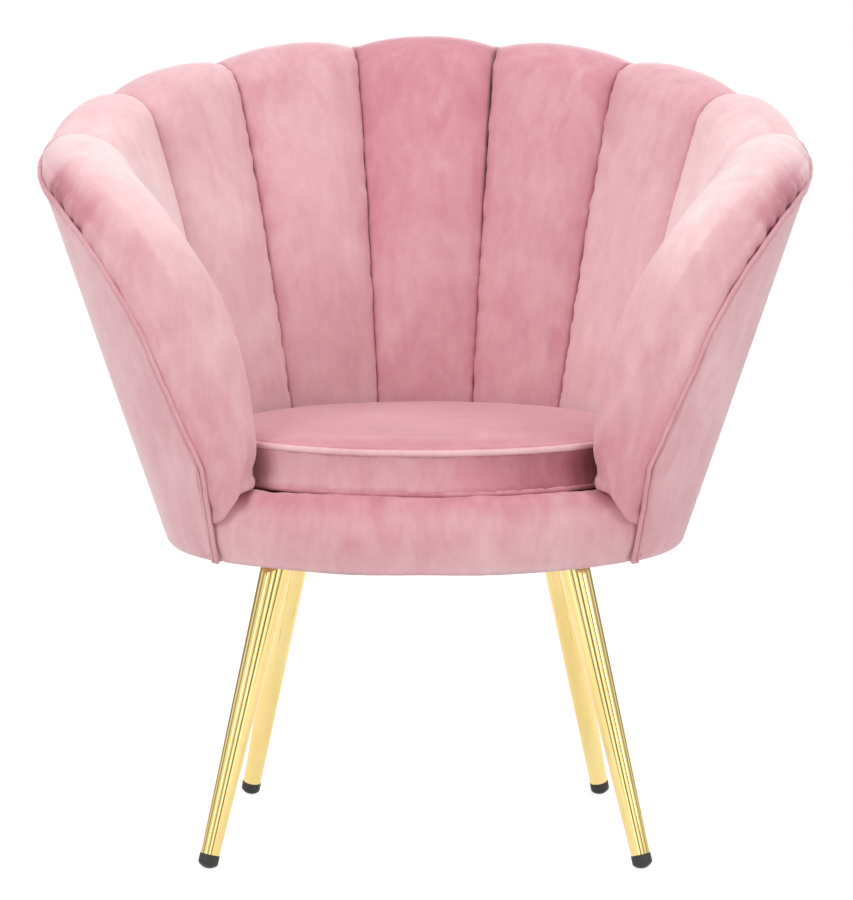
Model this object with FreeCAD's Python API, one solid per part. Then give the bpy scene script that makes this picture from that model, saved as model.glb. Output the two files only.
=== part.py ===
import FreeCAD, Part
import math
import os
from FreeCAD import Vector

# A scallop back lounge chair: a flared round shell of nine padded channels on four splayed metal legs.
#
# The shell is a cone frustum about an upright axis. A place on it is given by its angle from the middle of
# the back, by its height and by its depth inwards from the face of the outer cover. Seen from the side, each
# layer of the shell ends in a front edge, a rounded corner and a top that slopes up to the back.
# Lengths are in millimetres and angles in degrees. The front of the chair faces -Y.

# Outer cover
base_height = 302.0          # floor to the underside of the upholstered base
base_radius = 262.6          # outer cover at the underside
shell_lean = 18.68           # lean of the outer cover from upright
cover_thickness = 2.5
cover_edge_radius = 12.0     # rounding of the cover at its lower edge
cover_turn_in = 24.0         # width of cover stapled under the base
cover_front = 194.5          # upright front edge of the cover, ahead of the axis
cover_corner = 139.0         # rounding from the front edge to the top edge
cover_knee = 98.0            # the front edge slants back below this height over the underside
cover_slant = 36.0           # how far it slants back
welt_width = 4.5             # one of the two cords along the edge
welt_proud = 1.0
welt_sunk = 2.7

# Padded channels
channel_pitch = 24.2         # angle of one channel
side_channels = 3            # whole channels each side of the middle one, before the arm
crest_back_height = 824.0    # top of the middle channel
crest_side_height = 723.5    # the same line beside the axis
back_roll_rise = 38.0        # how far the crest stands over the cover's edge, at the back
side_roll_rise = 46.0        # and beside the axis
seam_dip = 22.0              # a seam's top lies this much under the line
back_roll = 52.0             # radius of the rolled top, on the seat side, along the middle of a channel
arm_roll = 66.0
seam_roll = 36.0
back_crest_depth = 48.0      # crest of the roll, inwards from the face of the outer cover
arm_crest_depth = 40.0
seam_crest_depth = 34.0
channel_foot_depth = 56.0    # padding and frame together, on the seat ring, mid-channel
arm_foot_depth = 43.0
seam_foot_depth = 48.0
back_belly = 14.0            # how far a channel swells halfway up
arm_belly = 22.0
seam_belly = 3.0
soft_gap = 0.3               # clearance round padding

# Padded arm front
pad_front = 206.0            # tip of the arm, ahead of the axis
pad_corner = 139.0
nose_start = 131.6           # angle where the arm starts to round off
nose_tip = 140.0

# Timber frame
frame_clearance = 1.0        # between the outer cover and the timber
frame_depth = 22.5           # thickness of posts and hoop, across the shell
board_thickness = 4.0
hoop_drop = 36.0             # top hoop under the cover's top edge
hoop_height = 20.0
frame_corner = 110.0
frame_setback = 4.0          # front post behind the cover's front edge
arm_post_width = 36.0
arm_post_height = 258.0      # over the underside
post_width = 30.0
board_gap = 0.3              # angle left between boards
base_board = 18.0
base_opening = 150.0
seat_ring_height = 27.5
seat_opening = 185.0
ring_clearance = 0.5
rail_inner = 226.0
rail_outer = 242.5
rail_height = 60.0           # top of the front rail over the underside
rail_span = 58.0             # half the angle of the front rail

# Front apron
apron_radius = 263.0         # fullest part of the face
apron_foot_radius = 257.0
apron_top_radius = 255.0
apron_height = 73.5          # over the underside
apron_edge_drop = 10.0
apron_end_drop = 24.0        # the top corners round off more at its ends
arm_lift = 1.2               # clearance of the arms over the apron
apron_span = 50.8            # half its angle
apron_flare = 8.0            # angle over which its ends widen to meet the cover

# Seat
strap_width = 50.0
strap_thickness = 1.6
long_straps = 4
cross_straps = 3
strap_spacing = 78.0
strap_overlap = 20.0         # length of strap stapled on the seat ring
deck_radius = 215.0
deck_foam_thickness = 21.5
deck_cloth_thickness = 1.0
cushion_radius = 213.0       # its front and back are half circles
cushion_front_centre = -24.0
cushion_back_centre = 10.0
cushion_side = 45.0
cushion_crown = 15.0
cushion_pull = 4.0           # how far the side band draws in
cushion_skin = 1.6
piping_radius = 3.0
zip_height = 9.0
zip_thickness = 1.0
zip_span = 70.0

# Legs
leg_top_radius = 15.5
leg_foot_radius = 9.5
leg_wall = 1.5
front_foot = (215.5, -175.0)
front_leg_top = (146.0, -118.0)
back_foot = (191.5, 175.0)
back_leg_top = (132.0, 122.0)
plate_size = 62.0
plate_thickness = 2.5
plate_corner = 6.0
screw_spacing = 44.0
screw_radius = 2.25
screw_clearance = 0.1
screw_length = 16.0
screw_head_radius = 4.2
screw_head_height = 2.2
cap_wall = 1.1
cap_dome = 12.5              # radius of the foot cap's rounded end
cap_flat = 0.5               # height taken off the rounded end where it stands
cap_height = 8.0
dust_cover_thickness = 1.0

lean = math.radians(shell_lean)
flare = math.tan(lean)
cover_depth = cover_thickness / math.cos(lean)
pad_depth = welt_sunk + soft_gap
cover_back_height = crest_back_height - back_roll_rise
cover_side_height = crest_side_height - side_roll_rise
cover_bend = (math.pi / 2.0 - lean) / 2.0
cover_bend_radius = base_radius - cover_edge_radius * math.tan(cover_bend)    # where the rounding starts
frame_outer = cover_depth + frame_clearance
frame_inner = frame_outer + frame_depth
board_inner = frame_inner + board_thickness
frame_bottom = base_height + cover_thickness
ring_bottom = frame_bottom + base_board
seat_height = ring_bottom + seat_ring_height
rail_top = base_height + rail_height
apron_top = base_height + apron_height
strap_top = seat_height + 2.0 * strap_thickness
deck_top = strap_top + deck_foam_thickness + deck_cloth_thickness
cushion_bottom = deck_top + soft_gap
plate_bottom = frame_bottom - dust_cover_thickness - plate_thickness
arm_seam = (side_channels + 0.5) * channel_pitch
room = 1.5 * cushion_radius + crest_back_height    # larger than the chair in any direction


def cover_radius(height):
    return base_radius + flare * (height - base_height)


def at(radius, angle, height):
    turn = math.radians(angle)
    return Vector(radius * math.sin(turn), radius * math.cos(turn), height)


def line(start, end):
    return Part.LineSegment(start, end).toShape()


def arc(start, middle, end):
    return Part.Arc(start, middle, end).toShape()


def polygon(points):
    return Part.Face(Part.makePolygon(points + points[:1]))


def turned(points, start=0.0, sweep=360.0):
    """A profile of radius and height pairs, turned about the shell's axis from one angle through another."""
    profile = polygon([at(radius, start, height) for radius, height in points])
    return profile.revolve(Vector(0, 0, 0), Vector(0, 0, -1), sweep)


def layer(outer_depth, inner_depth, low, high, start=0.0, sweep=360.0):
    """Part of the cone between two depths and two heights."""
    corners = [
        (cover_radius(low) - inner_depth, low),
        (cover_radius(low) - outer_depth, low),
        (cover_radius(high) - outer_depth, high),
        (cover_radius(high) - inner_depth, high),
    ]
    return turned(corners, start, sweep)


def mirrored(shape):
    return shape.mirror(Vector(0, 0, 0), Vector(1, 0, 0))


def above(height):
    return Part.makeBox(2 * room, 2 * room, room, Vector(-room, -room, height))


class SideOutline:
    """Where a layer of the shell ends, seen from the side: front edge, rounded corner and sloping top."""

    def __init__(self, front, side_height, back_height, corner, depth=0.0):
        back = cover_radius(back_height) - depth
        self.front = front
        self.side_height = side_height
        self.slope = (back_height - side_height) / back
        self.corner = corner

    def inset(self, front, top, corner):
        """The outline moved back by one distance, down by another and with a corner of its own."""
        inner = SideOutline(self.front - front, 0.0, cover_back_height, corner)
        inner.slope = self.slope
        inner.side_height = self.side_height - top * math.hypot(1.0, self.slope)
        return inner

    def corner_centre(self):
        y = self.corner - self.front
        return y, self.side_height + self.slope * y - self.corner * math.hypot(1.0, self.slope)

    def holds(self, y, z):
        centre_y, centre_z = self.corner_centre()
        if z > centre_z and (y - centre_y) + self.slope * (z - centre_z) < 0.0:
            return math.hypot(y - centre_y, z - centre_z) < self.corner
        return y > -self.front and z < self.side_height + self.slope * y

    def height(self, angle, depth):
        """Height at which the cone at that angle and depth leaves the outline."""
        low = base_height
        high = 2.0 * crest_back_height
        for _ in range(50):
            middle = (low + high) / 2.0
            if self.holds((cover_radius(middle) - depth) * math.cos(math.radians(angle)), middle):
                low = middle
            else:
                high = middle
        return low

    def solid(self):
        """Everything inside the outline, right across the chair."""
        y, z = self.corner_centre()
        tilt = math.atan(self.slope)
        half = (math.pi / 2.0 + tilt) / 2.0
        arc_start = Vector(-room, -self.front, z)
        arc_middle = Vector(-room, y - self.corner * math.cos(math.pi / 2.0 - half),
                            z + self.corner * math.sin(math.pi / 2.0 - half))
        arc_end = Vector(-room, y - self.corner * math.sin(tilt), z + self.corner * math.cos(tilt))
        knee = Vector(-room, -self.front, base_height + cover_knee)
        slant = cover_slant / cover_knee
        foot = Vector(-room, -self.front + slant * (cover_knee + base_height), 0.0)
        back_top = Vector(-room, room, self.side_height + self.slope * room)
        back_foot_corner = Vector(-room, room, 0.0)
        wire = Part.Wire([
            line(foot, knee),
            line(knee, arc_start),
            arc(arc_start, arc_middle, arc_end),
            line(arc_end, back_top),
            line(back_top, back_foot_corner),
            line(back_foot_corner, foot),
        ])
        return Part.Face(wire).extrude(Vector(2 * room, 0, 0))


cover_line = SideOutline(cover_front, cover_side_height, cover_back_height, cover_corner)
crest_line = SideOutline(pad_front, crest_side_height, crest_back_height, pad_corner,
                         back_crest_depth)
frame_line = cover_line.inset(frame_setback, hoop_drop, frame_corner)
welt_line = cover_line.inset(-2.0 * welt_width, -2.0 * welt_width, cover_corner + 2.0 * welt_width)
hoop_inner_line = frame_line.inset(arm_post_width, hoop_height, frame_corner - arm_post_width)


def fullness(angle):
    """0 in a seam and 1 along the middle of a channel. The arm stays full in front of its middle."""
    side = abs(angle)
    if side > arm_seam + channel_pitch / 2.0:
        return 1.0
    nearest = round(side / channel_pitch) * channel_pitch
    share = min(abs(side - nearest) / (channel_pitch / 2.0), 1.0)
    return math.sqrt(1.0 - share ** 2.4)


def arm_share(angle):
    """0 on the back and 1 on the arm."""
    share = (abs(angle) - arm_seam) / channel_pitch + 0.5
    share = min(max(share, 0.0), 1.0)
    return share * share * (3.0 - 2.0 * share)


def nose_width(angle):
    """1 along the arm, falling to 0 at its rounded front."""
    share = (abs(angle) - nose_start) / (nose_tip - nose_start)
    share = min(max(share, 0.0), 1.0)
    return math.sqrt(1.0 - share * share)


def mix(start, end, share):
    return start + (end - start) * share


def arm_face_radius(height):
    """Seat side of the arm, where it faces the cushion and the sitter."""
    top = crest_side_height - arm_roll
    low = cover_radius(seat_height) - arm_foot_depth
    high = cover_radius(top) - arm_crest_depth - arm_roll
    share = (height - seat_height) / (top - seat_height)
    return mix(low, high, share) - 4.0 * arm_belly * share * (1.0 - share)


def channel_section(angle, notched):
    """The outline of a pad in the upright plane at that angle. A notch leaves room for board and hoop."""
    full = fullness(angle)
    width = nose_width(angle)
    arm = arm_share(angle)
    roll = mix(seam_roll, mix(back_roll, arm_roll, arm), full)
    crest_depth = mix(seam_crest_depth, mix(back_crest_depth, arm_crest_depth, arm), full)
    crest_z = crest_line.height(angle, crest_depth) - seam_dip * (1.0 - full)
    cover_z = max(welt_line.height(angle, pad_depth) + soft_gap, seat_height + cover_edge_radius)
    stretch = max(crest_z - cover_z - roll, 0.0)
    crest_r = cover_radius(crest_z) - crest_depth
    shoulder_z = crest_z - roll * (1.0 - math.sin(lean)) - 0.6 * stretch
    shoulder_r = cover_radius(shoulder_z) - crest_depth - roll * math.cos(lean)
    if abs(angle) > arm_seam + channel_pitch / 2.0:
        shoulder_r = max(shoulder_r, arm_face_radius(shoulder_z))
    shoulder_r = mix((shoulder_r + cover_radius(shoulder_z) - pad_depth) / 2.0, shoulder_r, width)
    cover_r = cover_radius(cover_z) - mix((crest_depth + pad_depth) / 2.0, pad_depth, width)
    foot_depth = mix(seam_foot_depth, mix(channel_foot_depth, arm_foot_depth, arm), full)
    foot_middle = (pad_depth + foot_depth) / 2.0
    seat_r = cover_radius(seat_height) - mix(foot_middle, foot_depth, width)
    swell = mix(seam_belly, mix(back_belly, arm_belly, arm), full) * width
    belly_z = (seat_height + shoulder_z) / 2.0
    belly_r = (seat_r + shoulder_r) / 2.0 - swell
    if abs(angle) > arm_seam + channel_pitch / 2.0:
        belly_r = max(belly_r, arm_face_radius(belly_z))
    inner = arc(
        at(seat_r, angle, seat_height),
        at(belly_r, angle, belly_z),
        at(shoulder_r, angle, shoulder_z))
    inner_roll = arc(
        at(shoulder_r, angle, shoulder_z),
        at(mix(crest_r, shoulder_r, 0.66), angle, mix(shoulder_z, crest_z, 0.74)),
        at(crest_r, angle, crest_z))
    outer_roll = arc(
        at(crest_r, angle, crest_z),
        at(mix(crest_r, cover_r, 0.66), angle, mix(cover_z, crest_z, 0.74)),
        at(cover_r, angle, cover_z))
    if not notched:
        foot = at(cover_radius(seat_height) - mix(foot_middle, pad_depth, width), angle, seat_height)
        outer = line(at(cover_r, angle, cover_z), foot)
        under = line(foot, at(seat_r, angle, seat_height))
        return Part.Wire([inner, inner_roll, outer_roll, outer, under])
    board = board_inner + soft_gap
    outer_z = frame_line.height(angle, pad_depth) + soft_gap
    inner_z = frame_line.height(angle, board) + soft_gap
    outer_notch = at(cover_radius(outer_z) - pad_depth, angle, outer_z)
    inner_notch = at(cover_radius(inner_z) - board, angle, inner_z)
    foot = at(cover_radius(seat_height) - board, angle, seat_height)
    return Part.Wire([
        inner, inner_roll, outer_roll,
        line(at(cover_r, angle, cover_z), outer_notch),
        line(outer_notch, inner_notch),
        line(inner_notch, foot),
        line(foot, at(seat_r, angle, seat_height)),
    ])


def channel_pad(centre):
    """A pad swelling from seam to seam."""
    half = channel_pitch / 2.0 - math.degrees(soft_gap / cover_radius(seat_height)) / 2.0
    shares = (-1.0, -0.93, -0.7, -0.35, 0.0, 0.35, 0.7, 0.93, 1.0)
    return Part.makeLoft([channel_section(centre + half * share, True) for share in shares], True)


def arm_pad():
    """The right arm: a wide pad that rounds off at the front and sits over the ends of the apron."""
    start = arm_seam + math.degrees(soft_gap / cover_radius(seat_height)) / 2.0
    steps = (0.0, 0.035, 0.15, 0.35, 0.6, 1.0)
    angles = [start + step * channel_pitch / 2.0 for step in steps]
    middle = angles[-1]
    angles += [mix(middle, nose_start, share) for share in (0.22, 0.42, 0.6, 0.76, 0.9, 1.0)]
    angles += [mix(nose_start, nose_tip, share) for share in (0.35, 0.62, 0.82, 0.94, 0.99)]
    pad = Part.makeLoft([channel_section(angle, False) for angle in angles], True)
    timber = layer(-welt_width, board_inner + soft_gap, base_height, crest_back_height, arm_seam / 2.0, 180.0)
    timber_line = frame_line.inset(-soft_gap, -soft_gap, frame_corner + soft_gap)
    pad = pad.cut(timber.common(timber_line.solid()))
    under = [
        (rail_inner - soft_gap, base_height),
        (rail_inner - soft_gap, apron_top + arm_lift),
        (rail_outer, apron_top + arm_lift),
        (apron_radius, apron_top - 0.15 * apron_edge_drop + arm_lift),
        (apron_radius + cover_slant, apron_top - apron_end_drop + arm_lift),
        (apron_radius + cover_slant, base_height),
    ]
    pad = pad.cut(turned(under, 180.0 - rail_span - board_gap, rail_span + board_gap))
    return pad


def channel_board(start, end):
    """A curved board nailed on the inner faces of the posts."""
    board = layer(frame_inner, board_inner, seat_height, crest_back_height, start, end - start)
    return board.common(frame_line.solid())


def seam_post(angle):
    """A sawn post along a seam, from the base ring to the underside of the hoop."""
    top = crest_back_height
    corners = [
        (cover_radius(ring_bottom) - frame_outer, ring_bottom),
        (cover_radius(ring_bottom) - frame_inner, ring_bottom),
        (cover_radius(top) - frame_inner, top),
        (cover_radius(top) - frame_outer, top),
    ]
    across = at(post_width, angle + 90.0, 0.0)
    face = polygon([at(radius, angle, height) for radius, height in corners])
    face.translate(across * -0.5)
    return face.extrude(across).common(hoop_inner_line.solid())


def frame_arch():
    """Top hoop and arm posts in one, before they are cut apart."""
    ring = layer(frame_outer, frame_inner, ring_bottom, crest_back_height)
    return ring.common(frame_line.solid()).cut(hoop_inner_line.solid())


def top_hoop():
    return frame_arch().common(above(base_height + arm_post_height))


def arm_post():
    right = Part.makeBox(room, room, base_height + arm_post_height, Vector(0, -room, 0))
    return frame_arch().common(right)


def base_ring():
    top = ring_bottom
    ring = turned([
        (base_opening, frame_bottom),
        (cover_bend_radius - frame_clearance, frame_bottom),
        (cover_radius(base_height + cover_edge_radius) - frame_outer, base_height + cover_edge_radius),
        (cover_radius(top) - frame_outer, top),
        (base_opening, top),
    ])
    front = turned([
        (rail_outer, base_height),
        (room, base_height),
        (room, top + base_board),
        (rail_outer, top + base_board),
    ], 180.0 - apron_span - board_gap, 2.0 * (apron_span + board_gap))
    return ring.cut(front)


def seat_ring():
    outer = cover_radius(ring_bottom) - frame_inner - ring_clearance
    ring = turned([
        (seat_opening, ring_bottom),
        (outer, ring_bottom),
        (outer, seat_height),
        (seat_opening, seat_height),
    ])
    front = turned([
        (rail_inner - ring_clearance, base_height),
        (room, base_height),
        (room, seat_height + base_board),
        (rail_inner - ring_clearance, seat_height + base_board),
    ], 180.0 - rail_span - board_gap, 2.0 * (rail_span + board_gap))
    return ring.cut(front)


def front_rail():
    return turned([
        (rail_inner, ring_bottom),
        (rail_outer, ring_bottom),
        (rail_outer, rail_top),
        (rail_inner, rail_top),
    ], 180.0 - rail_span, 2.0 * rail_span)


def cover_profile_points(depth, rise):
    """Foot of the turn-in, start, middle and end of the rounded lower edge, and the top."""
    radius = cover_edge_radius - rise
    centre_z = base_height + cover_edge_radius
    end_r = cover_bend_radius + radius * math.cos(lean)
    end_z = centre_z - radius * math.sin(lean)
    top = crest_back_height
    return [
        (base_radius - cover_turn_in, base_height + rise),
        (cover_bend_radius, base_height + rise),
        (cover_bend_radius + radius * math.sin(cover_bend), centre_z - radius * math.cos(cover_bend)),
        (end_r, end_z),
        (cover_radius(top) - depth, top),
    ]


def outer_cover():
    """One conical panel round the back and sides, turned in under the base."""
    out = [at(radius, 0.0, height) for radius, height in cover_profile_points(0.0, 0.0)]
    into = [at(radius, 0.0, height) for radius, height in cover_profile_points(cover_depth, cover_thickness)]
    wire = Part.Wire([
        line(out[0], out[1]),
        arc(out[1], out[2], out[3]),
        line(out[3], out[4]),
        line(out[4], into[4]),
        line(into[4], into[3]),
        arc(into[3], into[2], into[1]),
        line(into[1], into[0]),
        line(into[0], out[0]),
    ])
    shell = Part.Face(wire).revolve(Vector(0, 0, 0), Vector(0, 0, 1), 360.0)
    return shell.common(cover_line.solid())


def edge_welt():
    """Two cords side by side along the front and top edges of the cover."""
    ring = layer(-welt_proud, welt_sunk, base_height, crest_back_height + 2.0 * welt_width)
    cords = []
    for number in range(2):
        inner = cover_line.inset(-number * welt_width, -number * welt_width, cover_corner + number * welt_width)
        outer = inner.inset(-welt_width, -welt_width, inner.corner + welt_width)
        cords.append(ring.common(outer.solid()).cut(inner.solid()))
    return Part.makeCompound(cords)


def apron_section(away):
    """Section of the padded front at an angle away from the middle: over the rail, down its face and under."""
    angle = 180.0 - away
    share = min(max((abs(away) - apron_span + apron_flare) / apron_flare, 0.0), 1.0)
    share = share * share * (3.0 - 2.0 * share)
    inside_cover = cover_depth + ring_clearance
    foot_z = base_height + cover_thickness * 2.0
    belly_z = base_height + 0.45 * apron_height
    edge_z = apron_top - mix(apron_edge_drop, apron_end_drop, share)
    foot_r = mix(apron_foot_radius, cover_radius(foot_z) - inside_cover - seam_belly, share)
    belly_r = mix(apron_radius, cover_radius(belly_z) - inside_cover, share)
    edge_r = mix(apron_top_radius, cover_radius(edge_z) - inside_cover - seam_belly, share)
    tuck_r = foot_r - cover_thickness * 2.0
    crown_r = (rail_inner + rail_outer) / 2.0
    low = base_height
    inner_r = rail_outer + soft_gap

    def place(radius, height):
        return at(radius, angle, height)

    points = [
        place(crown_r, apron_top),
        place(rail_inner, apron_top - cover_thickness),
        place(rail_inner, rail_top),
        place(inner_r, rail_top),
        place(inner_r, frame_bottom),
        place(base_radius - cover_turn_in, frame_bottom),
        place(base_radius - cover_turn_in, low),
        place(tuck_r, low),
    ]
    edges = [line(start, end) for start, end in zip(points[:-1], points[1:])]
    edges.append(arc(place(tuck_r, low), place(mix(tuck_r, foot_r, 0.7), mix(foot_z, low, 0.7)),
                     place(foot_r, foot_z)))
    edges.append(arc(place(foot_r, foot_z), place(belly_r, belly_z), place(edge_r, edge_z)))
    edges.append(arc(place(edge_r, edge_z), place(mix(crown_r, edge_r, 0.72), mix(apron_top, edge_z, 0.28)),
                     place(crown_r, apron_top)))
    return Part.Wire(edges)


def front_apron():
    shares = (-1.0, -0.95, -0.9, -0.84, -0.6, -0.3, 0.0, 0.3, 0.6, 0.84, 0.9, 0.95, 1.0)
    apron = Part.makeLoft([apron_section(apron_span * share) for share in shares], True)
    grown = frame_line.inset(-soft_gap, -soft_gap, frame_corner + soft_gap)
    timber = layer(-welt_width, board_inner + soft_gap, ring_bottom - soft_gap, crest_back_height)
    tuck_line = cover_line.inset(-soft_gap, -soft_gap, cover_corner + soft_gap)
    tuck = layer(-welt_width, 2.0 * cover_turn_in, base_height - cover_thickness, frame_bottom + soft_gap)
    return apron.cut(timber.common(grown.solid())).cut(tuck.common(tuck_line.solid()))


def woven_strap(number, across_count, offset, starts_over):
    """One strap along X about the axis: flat runs at two levels, with short slopes between the crossings."""
    reach = offset + strap_width / 2.0
    rest = math.sqrt(seat_opening ** 2 - reach ** 2)
    end = math.sqrt((seat_opening + strap_overlap) ** 2 - reach ** 2)
    half = strap_width / 2.0 + strap_thickness
    low = [(-end, seat_height), (-rest, seat_height)]
    for crossing in range(across_count):
        place = (crossing - (across_count - 1) / 2.0) * strap_spacing
        height = seat_height + strap_thickness * ((number + crossing + starts_over) % 2)
        low += [(place - half, height), (place + half, height)]
    low += [(rest, seat_height), (end, seat_height)]
    high = [(x, z + strap_thickness) for x, z in reversed(low)]
    face = polygon([Vector(x, -strap_width / 2.0, z) for x, z in low + high])
    return face.extrude(Vector(0, strap_width, 0))


def cushion_levels():
    """Heights of the cushion's two seams."""
    return cushion_bottom + piping_radius, cushion_bottom + cushion_side - piping_radius


def cushion_half(shrink):
    """Right half of the cushion's section: flat below, side band drawn in between its seams, crowned top."""
    seam_low, seam_high = cushion_levels()
    edge = cushion_radius - piping_radius - shrink
    rise = cushion_crown - shrink
    under = Vector(0, 0, cushion_bottom + shrink)
    under_edge = Vector(edge - piping_radius, 0, cushion_bottom + shrink)
    side_foot = Vector(edge, 0, seam_low)
    side = Vector(edge - cushion_pull, 0, (seam_low + seam_high) / 2.0)
    side_top = Vector(edge, 0, seam_high)
    puff = Vector(edge * 0.93, 0, seam_high + 0.34 * rise)
    shoulder = Vector(edge * 0.78, 0, seam_high + 0.67 * rise)
    crown = Vector(edge * 0.4, 0, seam_high + 0.92 * rise)
    top = Vector(0, 0, seam_high + rise)
    return Part.Face(Part.Wire([
        line(under, under_edge),
        line(under_edge, side_foot),
        arc(side_foot, side, side_top),
        arc(side_top, puff, shoulder),
        arc(shoulder, crown, top),
        line(top, under),
    ]))


def round_seat(section):
    """A right half section carried round the cushion: two half circles joined by straight sides."""
    up = Vector(0, 0, 1)
    front = section.translated(Vector(0, cushion_front_centre, 0))
    back = section.translated(Vector(0, cushion_back_centre, 0))
    side = front.extrude(Vector(0, cushion_back_centre - cushion_front_centre, 0))
    front = front.revolve(Vector(0, cushion_front_centre, 0), up * -1.0, 180.0)
    back = back.revolve(Vector(0, cushion_back_centre, 0), up, 180.0)
    return front.fuse([back, side, mirrored(side)]).removeSplitter()


def piping_section(height):
    """A cord, flat where it is sewn into the seam."""
    flat = cushion_radius - piping_radius
    bevel = piping_radius * math.sqrt(0.5)
    corners = [
        (flat, -piping_radius),
        (flat + bevel, -bevel),
        (cushion_radius, 0.0),
        (flat + bevel, bevel),
        (flat, piping_radius),
    ]
    return polygon([Vector(x, 0, height + z) for x, z in corners])


def strip_section(low, high):
    """A flat piece of the section's plane between two heights."""
    corners = [(0.0, low), (room, low), (room, high), (0.0, high)]
    return polygon([Vector(x, 0, z) for x, z in corners])


def cushion_pieces():
    seam_low, seam_high = cushion_levels()
    cords = [piping_section(seam_low), piping_section(seam_high)]
    core = cushion_half(cushion_skin)
    skin = cushion_half(0.0).cut(core).cut(cords)
    band = round_seat(skin.common(strip_section(seam_low, seam_high)))
    zip_low = (seam_low + seam_high - zip_height) / 2.0
    tape = cushion_half(cushion_skin - zip_thickness).cut(core)
    tape = round_seat(tape.common(strip_section(zip_low, zip_low + zip_height)))
    window = turned([(0.0, zip_low), (room, zip_low), (room, zip_low + zip_height), (0.0, zip_low + zip_height)],
                    -zip_span / 2.0, zip_span)
    return {
        "cushion_foam": round_seat(core.cut(cords)),
        "cushion_top": round_seat(skin.common(strip_section(seam_high, room))),
        "cushion_side_band": band.cut(window),
        "cushion_bottom": round_seat(skin.common(strip_section(0.0, seam_low))),
        "cushion_piping_top": round_seat(cords[1]),
        "cushion_piping_bottom": round_seat(cords[0]),
        "cushion_zip": tape.common(window),
    }


def leg_places():
    return {
        "front_right": (front_foot, front_leg_top),
        "front_left": ((-front_foot[0], front_foot[1]), (-front_leg_top[0], front_leg_top[1])),
        "back_right": (back_foot, back_leg_top),
        "back_left": ((-back_foot[0], back_foot[1]), (-back_leg_top[0], back_leg_top[1])),
    }


def leg_line(foot, top):
    """Centre of the cap's rounded end, and the direction of the leg."""
    start = Vector(foot[0], foot[1], 0.0)
    end = Vector(top[0], top[1], plate_bottom)
    direction = (end - start).normalize()
    centre = start + direction * ((cap_dome - cap_flat) / direction.z)
    return centre, direction


def leg_cone(foot, top, shrink):
    centre, direction = leg_line(foot, top)
    length = (plate_bottom - centre.z) / direction.z
    past = leg_top_radius
    growth = (leg_top_radius - leg_foot_radius) / length
    start_radius = leg_foot_radius - shrink
    cone = Part.makeCone(start_radius, start_radius + growth * (length + past), length + past, centre, direction)
    return cone.cut(above(plate_bottom))


def leg_tube(foot, top):
    return leg_cone(foot, top, 0.0).cut(leg_cone(foot, top, leg_wall))


def foot_cap(foot, top):
    """A cap with a rounded end, flat where it stands, over the end of the tube."""
    centre, direction = leg_line(foot, top)
    radius = leg_foot_radius + cap_wall
    edge = math.asin(radius / cap_dome)
    pole = Vector(0, 0, -cap_dome)
    middle = Vector(cap_dome * math.sin(edge / 2.0), 0, -cap_dome * math.cos(edge / 2.0))
    dome_edge = Vector(radius, 0, -cap_dome * math.cos(edge))
    rim = Vector(radius, 0, cap_height)
    inside = Vector(0, 0, cap_height)
    profile = Part.Wire([arc(pole, middle, dome_edge), line(dome_edge, rim), line(rim, inside), line(inside, pole)])
    cap = Part.Face(profile).revolve(Vector(0, 0, 0), Vector(0, 0, 1), 360.0)
    cap.Placement = FreeCAD.Placement(centre, FreeCAD.Rotation(Vector(0, 0, 1), direction))
    return cap.cut(leg_cone(foot, top, 0.0)).common(above(0.0))


def screw_places(top):
    turn = math.degrees(math.atan2(top[0], top[1]))
    centre = Vector(top[0], top[1], 0.0)
    half = screw_spacing / 2.0
    for x in (-half, half):
        for y in (-half, half):
            yield centre + at(y, turn, 0.0) + at(x, turn + 90.0, 0.0)


def screw_holes():
    """Holes through the leg plates."""
    holes = []
    for foot, top in leg_places().values():
        for place in screw_places(top):
            low = Vector(place.x, place.y, plate_bottom - plate_thickness)
            holes.append(Part.makeCylinder(screw_radius + screw_clearance, 3.0 * plate_thickness, low))
    return Part.makeCompound(holes)


def leg_plate(top):
    turn = math.degrees(math.atan2(top[0], top[1]))
    half = plate_size / 2.0
    plate = Part.makeBox(plate_size, plate_size, plate_thickness, Vector(-half, -half, plate_bottom))
    upright = [edge for edge in plate.Edges if abs(edge.tangentAt(edge.FirstParameter).z) > 0.9]
    plate = plate.makeFillet(plate_corner, upright)
    plate.rotate(Vector(0, 0, 0), Vector(0, 0, 1), -turn)
    plate.translate(Vector(top[0], top[1], 0.0))
    return plate.cut(screw_holes())


def leg_screws():
    screws = []
    for foot, top in leg_places().values():
        for place in screw_places(top):
            base = Vector(place.x, place.y, plate_bottom)
            corners = [base + at(screw_head_radius, 60.0 * side, 0.0) for side in range(6)]
            head = polygon(corners).extrude(Vector(0, 0, -screw_head_height))
            screws.append(head.fuse(Part.makeCylinder(screw_radius, screw_length, base)))
    return Part.makeCompound(screws)


def seat_straps():
    """Elastic straps woven across the opening of the seat ring."""
    straps = []
    for number in range(cross_straps):
        place = (number - (cross_straps - 1) / 2.0) * strap_spacing
        piece = woven_strap(number, long_straps, abs(place), 0)
        piece.translate(Vector(0, place, 0))
        straps.append(piece)
    for number in range(long_straps):
        place = (number - (long_straps - 1) / 2.0) * strap_spacing
        piece = woven_strap(number, cross_straps, abs(place), 1)
        piece.rotate(Vector(0, 0, 0), Vector(0, 0, 1), 90.0)
        piece.translate(Vector(place, 0, 0))
        straps.append(piece)
    return Part.makeCompound(straps)


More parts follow.
